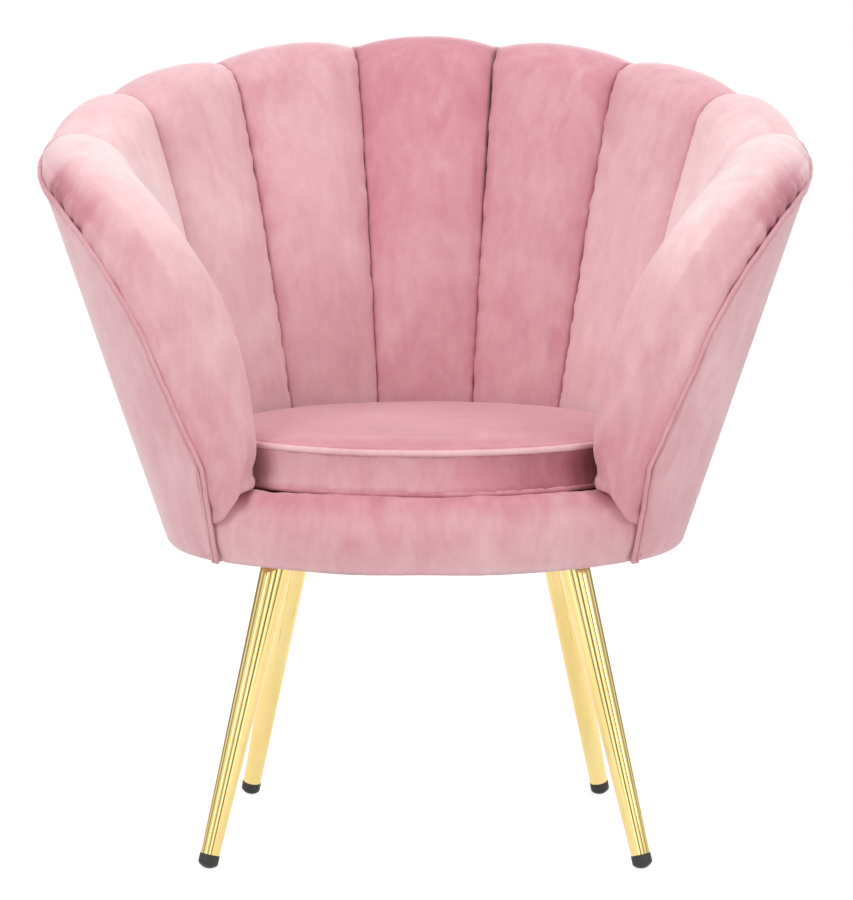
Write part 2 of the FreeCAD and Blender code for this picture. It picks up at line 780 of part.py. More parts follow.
def chair_pieces():
    pieces = {
        "base_ring": base_ring(),
        "seat_ring": seat_ring(),
        "front_rail": front_rail(),
        "top_hoop": top_hoop(),
        "outer_cover": outer_cover(),
        "edge_welt": edge_welt(),
        "front_apron": front_apron(),
        "seat_straps": seat_straps(),
        "deck_foam": Part.makeCylinder(deck_radius, deck_foam_thickness, Vector(0, 0, strap_top)),
        "deck_cloth": Part.makeCylinder(deck_radius, deck_cloth_thickness,
                                        Vector(0, 0, deck_top - deck_cloth_thickness)),
        "leg_screws": leg_screws(),
        "dust_cover": Part.makeCylinder(base_radius - cover_turn_in - soft_gap, dust_cover_thickness,
                                        Vector(0, 0, frame_bottom - dust_cover_thickness)),
    }
    pieces.update(sided("arm_post", arm_post()))
    pieces.update(sided("arm_pad", arm_pad()))
    pieces.update(sided("arm_board", channel_board(arm_seam + board_gap / 2.0, nose_tip)))
    pieces["back_pad_middle"] = channel_pad(0.0)
    pieces["back_board_middle"] = channel_board(-(channel_pitch - board_gap) / 2.0,
                                                (channel_pitch - board_gap) / 2.0)
    for number in range(1, side_channels + 1):
        centre = number * channel_pitch
        half = (channel_pitch - board_gap) / 2.0
        pieces.update(sided("back_pad_%d" % number, channel_pad(centre)))
        pieces.update(sided("back_board_%d" % number, channel_board(centre - half, centre + half)))
    for number in range(side_channels + 1):
        pieces.update(sided("seam_post_%d" % (number + 1), seam_post((number + 0.5) * channel_pitch)))
    for name, (foot, top) in leg_places().items():
        pieces["leg_" + name] = leg_tube(foot, top)
        pieces["foot_cap_" + name] = foot_cap(foot, top)
        pieces["leg_plate_" + name] = leg_plate(top)
    pieces.update(cushion_pieces())
    return pieces


def sided(name, shape):
    return {name + "_right": shape, name + "_left": mirrored(shape)}


def main():
    """Writes every piece, with the origin on the floor under the middle of the chair's outline."""
    os.makedirs("parts", exist_ok=True)
    pieces = chair_pieces()
    whole = Part.makeCompound(list(pieces.values())).optimalBoundingBox(False)
    for name, shape in pieces.items():
        shape.translate(Vector(-whole.Center.x, -whole.Center.y, 0.0))
        shape.exportStep("parts/%s.step" % name)


main()
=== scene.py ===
import math

import bmesh
import bpy
import numpy as np
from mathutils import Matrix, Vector, noise
from mathutils.bvhtree import BVHTree
from mathutils.kdtree import KDTree


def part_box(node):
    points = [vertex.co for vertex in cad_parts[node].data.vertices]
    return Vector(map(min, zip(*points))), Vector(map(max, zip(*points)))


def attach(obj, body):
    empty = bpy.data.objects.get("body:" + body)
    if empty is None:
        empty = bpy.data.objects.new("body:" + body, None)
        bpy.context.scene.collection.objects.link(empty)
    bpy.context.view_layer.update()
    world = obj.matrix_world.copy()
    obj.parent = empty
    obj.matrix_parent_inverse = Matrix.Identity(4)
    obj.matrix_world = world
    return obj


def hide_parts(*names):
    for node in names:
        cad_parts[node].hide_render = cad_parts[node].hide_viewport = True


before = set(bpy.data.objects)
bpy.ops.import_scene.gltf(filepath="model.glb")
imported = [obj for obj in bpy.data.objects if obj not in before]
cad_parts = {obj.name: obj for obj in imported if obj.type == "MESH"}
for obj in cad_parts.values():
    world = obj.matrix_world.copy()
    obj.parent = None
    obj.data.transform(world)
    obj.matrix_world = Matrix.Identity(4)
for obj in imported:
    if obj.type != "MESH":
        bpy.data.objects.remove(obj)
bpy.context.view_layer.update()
scene = bpy.context.scene

# The shell of the chair is a cone about an upright axis through the middle of the seat deck.
# Lengths are in metres, angles in degrees from the middle of the back, and the chair faces -Y.
deck_low, deck_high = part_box("deck_foam")
AXIS_Y = (deck_low.y + deck_high.y) / 2
DECK_RADIUS = (deck_high.x - deck_low.x) / 2
BASE_HEIGHT = 0.302
BASE_RADIUS = 0.2626
FLARE = math.tan(math.radians(18.68))
COVER_THICKNESS = 0.0025
COVER_EDGE_RADIUS = 0.012
COVER_TURN_IN = 0.024
COVER_SIDE_HEIGHT = 0.6775
COVER_BACK_HEIGHT = 0.786
COVER_FRONT = 0.1945
COVER_CORNER = 0.139
COVER_KNEE = 0.098
COVER_SLANT = 0.036
WELT_WIDTH = 0.0045
WELT_DEPTH = 0.00085
CHANNEL_PITCH = 24.2
CUSHION_RADIUS = 0.213
CUSHION_CENTRES = (-0.024, 0.010)
PIPING_RADIUS = 0.003
PATH_STEP = 0.004


def cone_radius(height):
    return BASE_RADIUS + FLARE * (height - BASE_HEIGHT)


def place(radius, angle, height):
    turn = math.radians(angle)
    return Vector((radius * math.sin(turn), AXIS_Y + radius * math.cos(turn), height))


def angle_of(point):
    return math.degrees(math.atan2(point[0], point[1] - AXIS_Y))


def round_shell(points):
    """The angle in degrees and the distance from the axis of each point."""
    angles = np.array([angle_of(p) for p in points])
    return angles, np.hypot(points[:, 0], points[:, 1] - AXIS_Y)


def mix(start, end, share):
    return start + (end - start) * share


def smooth(low, high, value):
    share = np.clip((value - low) / (high - low), 0.0, 1.0)
    return share * share * (3.0 - 2.0 * share)


# Paths on the shell

def edge_outline(outwards):
    """The cover's edge from the side, as y and z pairs, from its front's foot to the middle of the back."""
    slope = (COVER_BACK_HEIGHT - COVER_SIDE_HEIGHT) / cone_radius(COVER_BACK_HEIGHT)
    tilt = math.atan(slope)
    front = COVER_FRONT + outwards
    side = COVER_SIDE_HEIGHT + outwards * math.hypot(1.0, slope)
    corner = COVER_CORNER + outwards
    centre_y = corner - front
    centre_z = side + slope * centre_y - corner * math.hypot(1.0, slope)
    knee = BASE_HEIGHT + COVER_KNEE
    points = []
    for share in np.linspace(0, 1, 12):
        points.append((-front + COVER_SLANT * (1.0 - share), mix(BASE_HEIGHT, knee, share)))
    points += [(-front, mix(knee, centre_z, share)) for share in np.linspace(0.1, 1, 14)]
    for turn in np.linspace(math.pi, math.pi / 2 + tilt, 26)[1:]:
        points.append((centre_y + corner * math.cos(turn), centre_z + corner * math.sin(turn)))
    start_y = points[-1][0]
    end_y = cone_radius(side) / (1.0 - FLARE * slope)
    points += [(y, side + slope * y) for y in np.linspace(start_y, end_y, 90)[1:]]
    return points


def edge_path(outwards, proud):
    """The edge of the cover in space, from the right foot over the back to the left foot."""
    half = []
    for y, z in edge_outline(outwards):
        radius = cone_radius(z) + proud
        half.append((math.sqrt(max(radius * radius - y * y, 0.0)), y + AXIS_Y, z))
    half[-1] = (0.0, AXIS_Y + cone_radius(half[-1][2]) + proud, half[-1][2])
    right = np.array(half)
    left = right[::-1] * (-1.0, 1.0, 1.0)
    return evenly(np.vstack([right, left[1:]]), PATH_STEP)


def evenly(points, step):
    """The same line with its points an even step apart."""
    lengths = np.concatenate([[0.0], np.cumsum(np.linalg.norm(np.diff(points, axis=0), axis=1))])
    count = max(int(round(lengths[-1] / step)), 2)
    wanted = np.linspace(0.0, lengths[-1], count + 1)
    return np.column_stack([np.interp(wanted, lengths, points[:, axis]) for axis in range(3)])


def cushion_outline(inset, height, step=0.006):
    """A level line round the cushion: two half circles joined by straight sides."""
    radius = CUSHION_RADIUS - inset
    points = []
    for centre, start in ((CUSHION_CENTRES[1], 0.0), (CUSHION_CENTRES[0], math.pi)):
        for turn in np.linspace(start, start + math.pi, 90):
            points.append((radius * math.cos(turn), AXIS_Y + centre + radius * math.sin(turn), height))
    return evenly(np.array(points + points[:1]), step)[:-1]


# Meshes

def new_object(name, mesh):
    made = bpy.data.objects.new(name, mesh)
    scene.collection.objects.link(made)
    return made


def mesh_of(name, points, faces=(), edges=()):
    mesh = bpy.data.meshes.new(name)
    mesh.from_pydata([tuple(p) for p in points], list(edges), list(faces))
    mesh.update()
    return mesh


def points_of(thing):
    mesh = thing.data if hasattr(thing, "data") else thing
    flat = np.zeros(len(mesh.vertices) * 3)
    mesh.vertices.foreach_get("co", flat)
    return flat.reshape(-1, 3)


def normals_of(made):
    flat = np.zeros(len(made.data.vertices) * 3)
    made.data.vertices.foreach_get("normal", flat)
    return flat.reshape(-1, 3)


def move_points(made, points):
    made.data.vertices.foreach_set("co", np.asarray(points, float).ravel())
    made.data.update()


def cleaned(made, distance=1e-5):
    """Doubles merged and faces turned outwards."""
    shape = bmesh.new()
    shape.from_mesh(made.data)
    bmesh.ops.remove_doubles(shape, verts=shape.verts, dist=distance)
    bmesh.ops.dissolve_degenerate(shape, edges=shape.edges, dist=distance)
    bmesh.ops.recalc_face_normals(shape, faces=shape.faces)
    shape.to_mesh(made.data)
    shape.free()
    made.data.update()
    return made


def with_modifier(made, kind, **settings):
    """One modifier added and applied."""
    modifier = made.modifiers.new("shape", kind)
    for key, value in settings.items():
        setattr(modifier, key, value)
    evaluated = made.evaluated_get(bpy.context.evaluated_depsgraph_get())
    mesh = bpy.data.meshes.new_from_object(evaluated)
    made.modifiers.remove(modifier)
    made.data = mesh
    return made


def grid(name, rows, closed=False):
    """A skin through rows of points. Closed rows join up end to end."""
    wide = len(rows[0])
    points = [p for row in rows for p in row]
    faces = []
    for r in range(len(rows) - 1):
        for c in range(wide if closed else wide - 1):
            after = (c + 1) % wide
            faces.append((r * wide + c, r * wide + after, (r + 1) * wide + after, (r + 1) * wide + c))
    return new_object(name, mesh_of(name, points, faces))


def lathe(name, profile, start, direction, around=72):
    """A closed profile of distance along and radius pairs, turned about a line."""
    across = direction.orthogonal().normalized()
    second = direction.cross(across)
    rows = []
    for along, radius in profile:
        row = []
        for step in range(around):
            turn = 2 * math.pi * step / around
            outwards = across * math.cos(turn) + second * math.sin(turn)
            row.append(start + direction * along + outwards * radius)
        rows.append(row)
    return cleaned(grid(name, rows, closed=True))


def shade(made, sharp=35.0):
    made.data.polygons.foreach_set("use_smooth", [True] * len(made.data.polygons))
    made.data.set_sharp_from_angle(angle=math.radians(sharp))
    return made


def finished(made, body, slot, material, *nodes):
    """The piece gets its finish, rides on its body and stands for its CAD nodes."""
    made.data.materials.clear()
    made.data.materials.append(material)
    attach(made, body)
    if nodes:
        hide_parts(*nodes)
    return made


# Materials

def add_node(tree, kind, inputs=None, **settings):
    """A node in any tree, with its settings made and its inputs linked or set."""
    made = tree.nodes.new(kind)
    for key, value in settings.items():
        setattr(made, key, value)
    for key, value in (inputs or {}).items():
        if isinstance(value, bpy.types.NodeSocket):
            tree.links.new(value, made.inputs[key])
        else:
            made.inputs[key].default_value = value
    return made


class Finish:
    """A material built from nodes with short calls."""

    def __init__(self, name):
        self.material = bpy.data.materials.new(name)
        self.material.use_nodes = True
        self.tree = self.material.node_tree
        self.tree.nodes.clear()
        self.coords = self.add("ShaderNodeTexCoord").outputs["Object"]

    def add(self, kind, inputs=None, **settings):
        return add_node(self.tree, kind, inputs, **settings)

    def stretched(self, scale):
        return self.add("ShaderNodeMapping", {"Vector": self.coords, "Scale": scale}).outputs[0]

    def noise(self, scale, detail=3.0, coords=None, distortion=0.0):
        values = {"Vector": coords or self.coords, "Scale": scale, "Detail": detail, "Distortion": distortion}
        return self.add("ShaderNodeTexNoise", values).outputs["Fac"]

    def bands(self, scale, distortion, direction):
        values = {"Vector": self.coords, "Scale": scale, "Distortion": distortion}
        return self.add("ShaderNodeTexWave", values, bands_direction=direction).outputs["Fac"]

    def math(self, operation, first, second=0.0, third=0.0):
        return self.add("ShaderNodeMath", {0: first, 1: second, 2: third}, operation=operation).outputs[0]

    def spread(self, value, low, high, to_low=0.0, to_high=1.0):
        values = {"Value": value, "From Min": low, "From Max": high, "To Min": to_low, "To Max": to_high}
        return self.add("ShaderNodeMapRange", values).outputs[0]

    def ramp(self, value, stops):
        made = self.add("ShaderNodeValToRGB", {"Fac": value})
        points = made.color_ramp.elements
        while len(points) < len(stops):
            points.new(0.5)
        for point, (position, colour) in zip(points, stops):
            point.position = position
            point.color = (*colour, 1.0)
        return made.outputs["Color"]

    def bump(self, height, distance, strength=1.0, under=None):
        values = {"Height": height, "Distance": distance, "Strength": strength}
        if under:
            values["Normal"] = under
        return self.add("ShaderNodeBump", values).outputs["Normal"]

    def surface(self, **values):
        names = {key.replace("_", " ").title().replace("Ior", "IOR"): value for key, value in values.items()}
        shader = self.add("ShaderNodeBsdfPrincipled", names)
        self.add("ShaderNodeOutputMaterial", {"Surface": shader.outputs[0]})
        return self.material


DARK_ROSE = (0.34, 0.095, 0.125)
ROSE = (0.60, 0.255, 0.305)
PALE_ROSE = (0.80, 0.55, 0.565)
WHITE_ROSE = (0.88, 0.74, 0.74)
# The velvet's mottling: clouds, crushed patches and brush strokes. Each is a scale, a detail, an upright
# stretch, a distortion and how much it adds to the lie of the pile.
MOTTLES = ((7.0, 5.0, 1.0, 1.4, 0.80), (24.0, 6.0, 0.42, 1.6, 0.62), (95.0, 4.0, 0.30, 0.8, 0.36))
PILE_SCALE, PILE_SHARE = 1300.0, 0.35
TONE_LOW, TONE_HIGH = -1.0, 1.5


def velvet(name):
    """Short pile velvet. The attribute says how the pile lies, with painted sheen and painted shade added in:
    -1 dark, 0 plain, 1 pale.
    """
    finish = Finish(name)
    pile_and_painted_light_tone = finish.add("ShaderNodeAttribute", attribute_name="nap_and_painted_light").outputs["Fac"]
    layers = []
    for scale, detail, upright, distortion, share in MOTTLES:
        layers.append(finish.noise(scale, detail, finish.stretched((1.0, 1.0, upright)), distortion))
        pile_and_painted_light_tone = finish.math("MULTIPLY_ADD", finish.math("SUBTRACT", layers[-1], 0.5), share, pile_and_painted_light_tone)
    pile = finish.noise(PILE_SCALE, 2.0)
    pile_and_painted_light_tone = finish.math("MULTIPLY_ADD", finish.math("SUBTRACT", pile, 0.5), PILE_SHARE, pile_and_painted_light_tone)
    tone = finish.ramp(finish.spread(pile_and_painted_light_tone, TONE_LOW, TONE_HIGH),
                       [(0.0, DARK_ROSE), (0.4, ROSE), (0.8, PALE_ROSE), (1.0, WHITE_ROSE)])
    ruffled = finish.noise(60.0, 5.0, distortion=0.8)
    relief = finish.bump(ruffled, 0.0018, 0.25)
    relief = finish.bump(pile, 0.0004, 0.30, relief)
    rough = finish.spread(layers[0], 0.3, 0.7, 0.72, 0.88)
    return finish.surface(base_color=tone, roughness=rough, normal=relief, specular_ior_level=0.25,
                          sheen_weight=0.85, sheen_roughness=0.35, sheen_tint=(1.0, 0.80, 0.82, 1.0))


def gold_metal():
    finish = Finish("polished_gold")
    wiped = finish.noise(30.0, 3.0, finish.stretched((1.0, 1.0, 0.12)))
    tone = finish.ramp(wiped, [(0.3, (0.83, 0.62, 0.24)), (0.7, (0.90, 0.71, 0.32))])
    fine = finish.noise(420.0, 2.0, finish.stretched((1.0, 1.0, 0.05)))
    return finish.surface(base_color=tone, metallic=1.0, roughness=finish.spread(wiped, 0.3, 0.7, 0.05, 0.11),
                          normal=finish.bump(fine, 0.0002, 0.04))


def foot_plastic():
    finish = Finish("black_foot")
    grain = finish.noise(900.0, 2.0)
    scuffs = finish.noise(60.0, 4.0)
    tone = finish.ramp(scuffs, [(0.3, (0.012, 0.012, 0.012)), (0.75, (0.035, 0.034, 0.032))])
    return finish.surface(base_color=tone, roughness=finish.spread(scuffs, 0.3, 0.7, 0.42, 0.6),
                          normal=finish.bump(grain, 0.0002, 0.2))


def powder_coat():
    finish = Finish("black_powder_coat")
    peel = finish.noise(600.0, 3.0)
    tone = finish.ramp(finish.noise(40.0), [(0.3, (0.018, 0.018, 0.018)), (0.7, (0.030, 0.030, 0.030))])
    return finish.surface(base_color=tone, roughness=0.45, normal=finish.bump(peel, 0.0002, 0.3))


def zinc():
    finish = Finish("zinc_plate")
    patches = finish.noise(260.0, 3.0)
    tone = finish.ramp(patches, [(0.3, (0.50, 0.50, 0.48)), (0.7, (0.66, 0.65, 0.58))])
    return finish.surface(base_color=tone, metallic=1.0,
                          roughness=finish.spread(patches, 0.3, 0.7, 0.25, 0.42))


def plywood():
    finish = Finish("birch_plywood")
    grain = finish.noise(60.0, 5.0, finish.stretched((1.0, 0.06, 1.0)), distortion=0.5)
    plies = finish.bands(110.0, 0.3, "Z")
    tone = finish.ramp(finish.math("MULTIPLY_ADD", plies, 0.25, grain),
                       [(0.35, (0.55, 0.36, 0.19)), (0.6, (0.70, 0.50, 0.30)), (0.85, (0.78, 0.60, 0.40))])
    return finish.surface(base_color=tone, roughness=0.7, normal=finish.bump(grain, 0.0006, 0.3))


def timber():
    finish = Finish("sawn_timber")
    grain = finish.noise(45.0, 6.0, finish.stretched((1.0, 1.0, 0.07)), distortion=0.8)
    saw = finish.bands(300.0, 1.0, "Z")
    tone = finish.ramp(grain, [(0.3, (0.50, 0.31, 0.15)), (0.55, (0.66, 0.45, 0.25)),
                               (0.8, (0.74, 0.55, 0.34))])
    return finish.surface(base_color=tone, roughness=0.75, normal=finish.bump(saw, 0.0003, 0.4))


def woven(name, thin, thick, threads, roughness=0.85):
    """A plain weave of threads running both ways."""
    finish = Finish(name)
    weave = finish.math("MULTIPLY", finish.bands(threads, 0.4, "X"), finish.bands(threads, 0.4, "Y"))
    fade = finish.math("MULTIPLY_ADD", finish.noise(14.0), 0.5, weave)
    tone = finish.ramp(fade, [(0.2, thin), (0.9, thick)])
    return finish.surface(base_color=tone, roughness=roughness, normal=finish.bump(weave, 0.0006, 0.6))


def foam():
    finish = Finish("cream_foam")
    cells = finish.add("ShaderNodeTexVoronoi", {"Vector": finish.coords, "Scale": 700.0}).outputs["Distance"]
    tone = finish.ramp(finish.math("MULTIPLY_ADD", finish.noise(12.0), 0.4, cells),
                       [(0.1, (0.62, 0.55, 0.34)), (0.8, (0.84, 0.79, 0.60))])
    return finish.surface(base_color=tone, roughness=0.95, normal=finish.bump(cells, 0.0008, 0.5))


def dust_fabric():
    finish = Finish("black_nonwoven")
    dots = finish.add("ShaderNodeTexVoronoi", {"Vector": finish.coords, "Scale": 420.0, "Randomness": 0.35})
    tone = finish.ramp(finish.noise(120.0, 5.0), [(0.3, (0.012, 0.012, 0.013)), (0.8, (0.05, 0.05, 0.052))])
    relief = finish.bump(dots.outputs["Distance"], 0.0005, 0.5)
    return finish.surface(base_color=tone, roughness=0.92, normal=relief)


VELVET = velvet("rose_velvet")
GOLD = gold_metal()
FOOT = foot_plastic()
POWDER = powder_coat()
ZINC = zinc()
PLYWOOD = plywood()
TIMBER = timber()
FOAM = foam()
DUST = dust_fabric()
WEBBING = woven("brown_webbing", (0.10, 0.07, 0.05), (0.34, 0.26, 0.19), 260.0)
DECK = woven("rose_deck_cloth", (0.34, 0.13, 0.16), (0.56, 0.27, 0.32), 420.0)
ZIPPER = woven("rose_zip_teeth", (0.42, 0.15, 0.19), (0.62, 0.28, 0.33), 300.0, 0.40)
TAPE = woven("rose_zip_tape", (0.30, 0.10, 0.13), (0.50, 0.20, 0.25), 900.0)

# Which finish each CAD node carries, by a part of its name. The rest is velvet.
CARRIED = {"base_ring": PLYWOOD, "seat_ring": PLYWOOD, "board": PLYWOOD, "front_rail": TIMBER,
           "top_hoop": TIMBER, "post": TIMBER, "seat_straps": WEBBING, "foam": FOAM, "leg_plate": POWDER,
           "leg_screws": ZINC, "cushion_zip": TAPE}

for node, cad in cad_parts.items():
    carried = next((CARRIED[key] for key in CARRIED if key in node), VELVET)
    cad.data.materials.clear()
    cad.data.materials.append(carried)


# Trees that repeat a shape along a path

def new_tree(name, sizes):
    """An empty tree with a geometry input, named sizes and a material."""
    tree = bpy.data.node_groups.new(name, "GeometryNodeTree")
    sockets = tree.interface
    sockets.new_socket("Path", in_out="INPUT", socket_type="NodeSocketGeometry")
    for label, value in sizes.items():
        made = sockets.new_socket(label, in_out="INPUT", socket_type="NodeSocketFloat")
        made.default_value = value
    sockets.new_socket("Finish", in_out="INPUT", socket_type="NodeSocketMaterial")
    sockets.new_socket("Geometry", in_out="OUTPUT", socket_type="NodeSocketGeometry")
    return tree


def close_tree(tree, geometry, start):
    real = add_node(tree, "GeometryNodeRealizeInstances", {"Geometry": geometry})
    smoothed = add_node(tree, "GeometryNodeSetShadeSmooth", {"Geometry": real.outputs[0]})
    painted = add_node(tree, "GeometryNodeSetMaterial",
                       {"Geometry": smoothed.outputs[0], "Material": start.outputs["Finish"]})
    add_node(tree, "NodeGroupOutput", {"Geometry": painted.outputs[0]})
    return tree


def cord_tree():
    """A covered cord along the path, slightly uneven as it is sewn by hand."""
    tree = new_tree("covered_cord", {"Radius": 0.002, "Step": 0.004, "Waver": 0.0003})
    start = add_node(tree, "NodeGroupInput")
    line = add_node(tree, "GeometryNodeMeshToCurve", {"Mesh": start.outputs["Path"]})
    line = add_node(tree, "GeometryNodeResampleCurve",
                    {"Curve": line.outputs[0], "Length": start.outputs["Step"]}, mode="LENGTH")
    texture = add_node(tree, "ShaderNodeTexNoise", {"Scale": 38.0, "Detail": 1.0})
    centred = add_node(tree, "ShaderNodeVectorMath", {0: texture.outputs["Color"], 1: (0.5, 0.5, 0.5)},
                       operation="SUBTRACT")
    waver = add_node(tree, "ShaderNodeVectorMath",
                     {0: centred.outputs[0], "Scale": start.outputs["Waver"]}, operation="SCALE")
    line = add_node(tree, "GeometryNodeSetPosition",
                    {"Geometry": line.outputs[0], "Offset": waver.outputs[0]})
    ring = add_node(tree, "GeometryNodeCurvePrimitiveCircle",
                    {"Resolution": 14, "Radius": start.outputs["Radius"]})
    cord = add_node(tree, "GeometryNodeCurveToMesh",
                    {"Curve": line.outputs[0], "Profile Curve": ring.outputs[0], "Fill Caps": True})
    return close_tree(tree, cord.outputs[0], start)


def row_tree():
    """A small box-like piece, such as a staple's crown or a zip's tooth, repeated along the path."""
    tree = new_tree("row_of_pieces",
                    {"Spacing": 0.02, "Along": 0.001, "Across": 0.010, "Tall": 0.001, "Turn": 0.0})
    start = add_node(tree, "NodeGroupInput")
    line = add_node(tree, "GeometryNodeMeshToCurve", {"Mesh": start.outputs["Path"]})
    line = add_node(tree, "GeometryNodeResampleCurve",
                    {"Curve": line.outputs[0], "Length": start.outputs["Spacing"]}, mode="LENGTH")
    size = add_node(tree, "ShaderNodeCombineXYZ",
                    {0: start.outputs["Along"], 1: start.outputs["Across"], 2: start.outputs["Tall"]})
    ball = add_node(tree, "GeometryNodeMeshUVSphere", {"Segments": 8, "Rings": 6, "Radius": 0.5})
    tangent = add_node(tree, "GeometryNodeInputTangent")
    facing = add_node(tree, "FunctionNodeAlignRotationToVector", {"Vector": tangent.outputs[0]}, axis="X")
    turn = add_node(tree, "ShaderNodeCombineXYZ", {2: start.outputs["Turn"]})
    turned = add_node(tree, "FunctionNodeRotateRotation",
                      {"Rotation": facing.outputs[0], "Rotate By": turn.outputs[0]}, rotation_space="LOCAL")
    row = add_node(tree, "GeometryNodeInstanceOnPoints",
                   {"Points": line.outputs[0], "Instance": ball.outputs[0], "Rotation": turned.outputs[0],
                    "Scale": size.outputs[0]})
    return close_tree(tree, row.outputs[0], start)


CORD_TREE = cord_tree()
ROW_TREE = row_tree()


def along(tree, name, path, material, body, slot, nodes=(), closed=False, **sizes):
    """One piece made by a tree on a path, as a plain mesh."""
    count = len(path)
    edges = [(i, (i + 1) % count) for i in range(count if closed else count - 1)]
    source = new_object(name, mesh_of(name, path, edges=edges))
    modifier = source.modifiers.new("form", "NODES")
    modifier.node_group = tree
    for socket in tree.interface.items_tree:
        if socket.in_out == "INPUT" and socket.name in sizes:
            modifier[socket.identifier] = sizes[socket.name]
        if socket.name == "Finish":
            modifier[socket.identifier] = material
    mesh = bpy.data.meshes.new_from_object(source.evaluated_get(bpy.context.evaluated_depsgraph_get()))
    source.modifiers.remove(modifier)
    source.data = mesh
    return finished(source, body, slot, material, *nodes)


# Padding

# The size of the even mesh, and how close to its fixings a point has to be to be held.
VOXEL, APRON_VOXEL, CUSHION_VOXEL = 0.0055, 0.0045, 0.005
HELD_TO_FRAME, HELD_TO_PADS, HELD_TO_EDGE, HELD_TO_RIM = 0.006, 0.004, 0.012, 0.005
# How far each part is drawn in before the pressure swells it, and the largest swell.
PAD_SHRINK, PAD_SWELL = -0.0025, 0.006
APRON_SHRINK, APRON_SWELL = -0.001, 0.005
CUSHION_SWELL = 0.007
CUSHION_GROWTH, RIM_GROWTH, RIM_REACH = 0.0020, 0.0022, 0.006
# How much the shoulders beside a seam are filled and widened, and how far from the seam that reaches.
SEAM_FILL, SEAM_REACH = 0.0045, 0.008
SEAM_WIDEN, WIDEN_REACH, SEAM_GAP = 0.003, 0.006, 0.0002
LAST_FRAME = 20
CLOTH = {"quality": 4, "mass": 0.3, "tension_stiffness": 20.0, "compression_stiffness": 20.0,
         "shear_stiffness": 8.0, "bending_stiffness": 1.5, "use_pressure": True,
         "uniform_pressure_force": 4.0, "vertex_group_mass": "held"}


def soft_start(node, name, voxel):
    """A closed even mesh of a CAD solid, with its points back on the solid's faces."""
    made = new_object(name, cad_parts[node].data.copy())
    cleaned(made)
    with_modifier(made, "REMESH", mode="VOXEL", voxel_size=voxel, use_smooth_shade=True)
    with_modifier(made, "SMOOTH", factor=0.5, iterations=2)
    tree = BVHTree.FromObject(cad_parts[node], bpy.context.evaluated_depsgraph_get())
    move_points(made, [tree.find_nearest(p)[0] for p in points_of(made)])
    return made


def drawn_in(made, held, amount):
    """Moves the points that aren't held, inwards where the amount is negative."""
    move_points(made, points_of(made) + normals_of(made) * (amount * (1.0 - held))[:, None])


def distance_to(nodes, points):
    """How far each point is from the nearest of these CAD nodes."""
    corners, faces = [], []
    for node in nodes:
        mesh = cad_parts[node].data
        mesh.calc_loop_triangles()
        first = len(corners)
        corners += [tuple(v.co) for v in mesh.vertices]
        faces += [tuple(first + i for i in t.vertices) for t in mesh.loop_triangles]
    tree = BVHTree.FromPolygons(corners, faces)
    return np.array([tree.find_nearest(p)[3] for p in points])


def puff(pieces):
    """Blows up all the pieces at once. Each comes with its held points and its largest movement."""
    for made, held, limit in pieces:
        group = made.vertex_groups.new(name="held")
        group.add(np.nonzero(held)[0].tolist(), 1.0, "REPLACE")
        cloth = made.modifiers.new("cloth", "CLOTH")
        for key, value in CLOTH.items():
            setattr(cloth.settings, key, value)
        cloth.settings.effector_weights.gravity = 0.0
        cloth.point_cache.frame_start = 1
        cloth.point_cache.frame_end = LAST_FRAME
    for number in range(1, LAST_FRAME + 1):
        scene.frame_set(number)
    drawn = bpy.context.evaluated_depsgraph_get()
    for made, held, limit in pieces:
        before = points_of(made)
        after = points_of(made.evaluated_get(drawn).to_mesh())
        made.evaluated_get(drawn).to_mesh_clear()
        step = after - before
        normals = normals_of(made)
        inward = np.minimum(np.sum(step * normals, axis=1), 0.0)
        step = step - normals * inward[:, None]
        length = np.linalg.norm(step, axis=1)[:, None] + 1e-9
        made.modifiers.remove(made.modifiers["cloth"])
        made.vertex_groups.clear()
        move_points(made, before + step / length * limit * np.tanh(length / limit))
    scene.frame_set(1)


def refined(made):
    return with_modifier(made, "SUBSURF", levels=1, render_levels=1)


def ripples(points, scale, seed, stretch=(1.0, 1.0, 1.0)):
    """Smooth noise between -1 and 1 at each point."""
    shift = Vector((seed * 7.3, seed * 3.1, seed * 5.7))
    factors = Vector(stretch) * scale
    return np.array([noise.noise(Vector(p) * factors + shift) for p in points])


def near_path(points, path):
    """Distance from each point to the path, and how far along the path that is."""
    tree = KDTree(len(path))
    for number, p in enumerate(path):
        tree.insert(p, number)
    tree.balance()
    step = float(np.linalg.norm(path[1] - path[0]))
    found = [tree.find(p) for p in points]
    return np.array([f[2] for f in found]), np.array([f[1] * step for f in found])


def gathers(made, path, tucks):
    """Tucks that run out from a sewn edge. Each is a place along it, a width, a depth and a reach."""
    points = points_of(made)
    away, along_edge = near_path(points, path)
    sunk = np.zeros(len(points))
    for where, width, depth, reach in tucks:
        sunk += depth * np.exp(-((along_edge - where) / width) ** 2) * np.exp(-away / reach)
    move_points(made, points - normals_of(made) * sunk[:, None])
    return sunk


def set_nap_and_painted_light(made, values):
    """Stores how the pile lies at each point, with painted sheen and painted shade added in, for the velvet.
    """
    layer = made.data.attributes.get("nap_and_painted_light") or made.data.attributes.new("nap_and_painted_light", "FLOAT", "POINT")
    layer.data.foreach_set("value", np.asarray(values, np.float32))


def to_rims(points):
    """How far each point is from the nearer of the cushion's two corded rims."""
    low, _ = near_path(points, cushion_outline(PIPING_RADIUS, SEAM_LOW))
    high, _ = near_path(points, cushion_outline(PIPING_RADIUS, SEAM_HIGH))
    return np.minimum(low, high)


def sideways_at(turn):
    """The level direction round the shell at each turn."""
    return np.column_stack([np.cos(turn), -np.sin(turn), np.zeros(len(turn))])


EDGE = edge_path(0.0, 0.0)
EDGE_LENGTH = PATH_STEP * (len(EDGE) - 1)

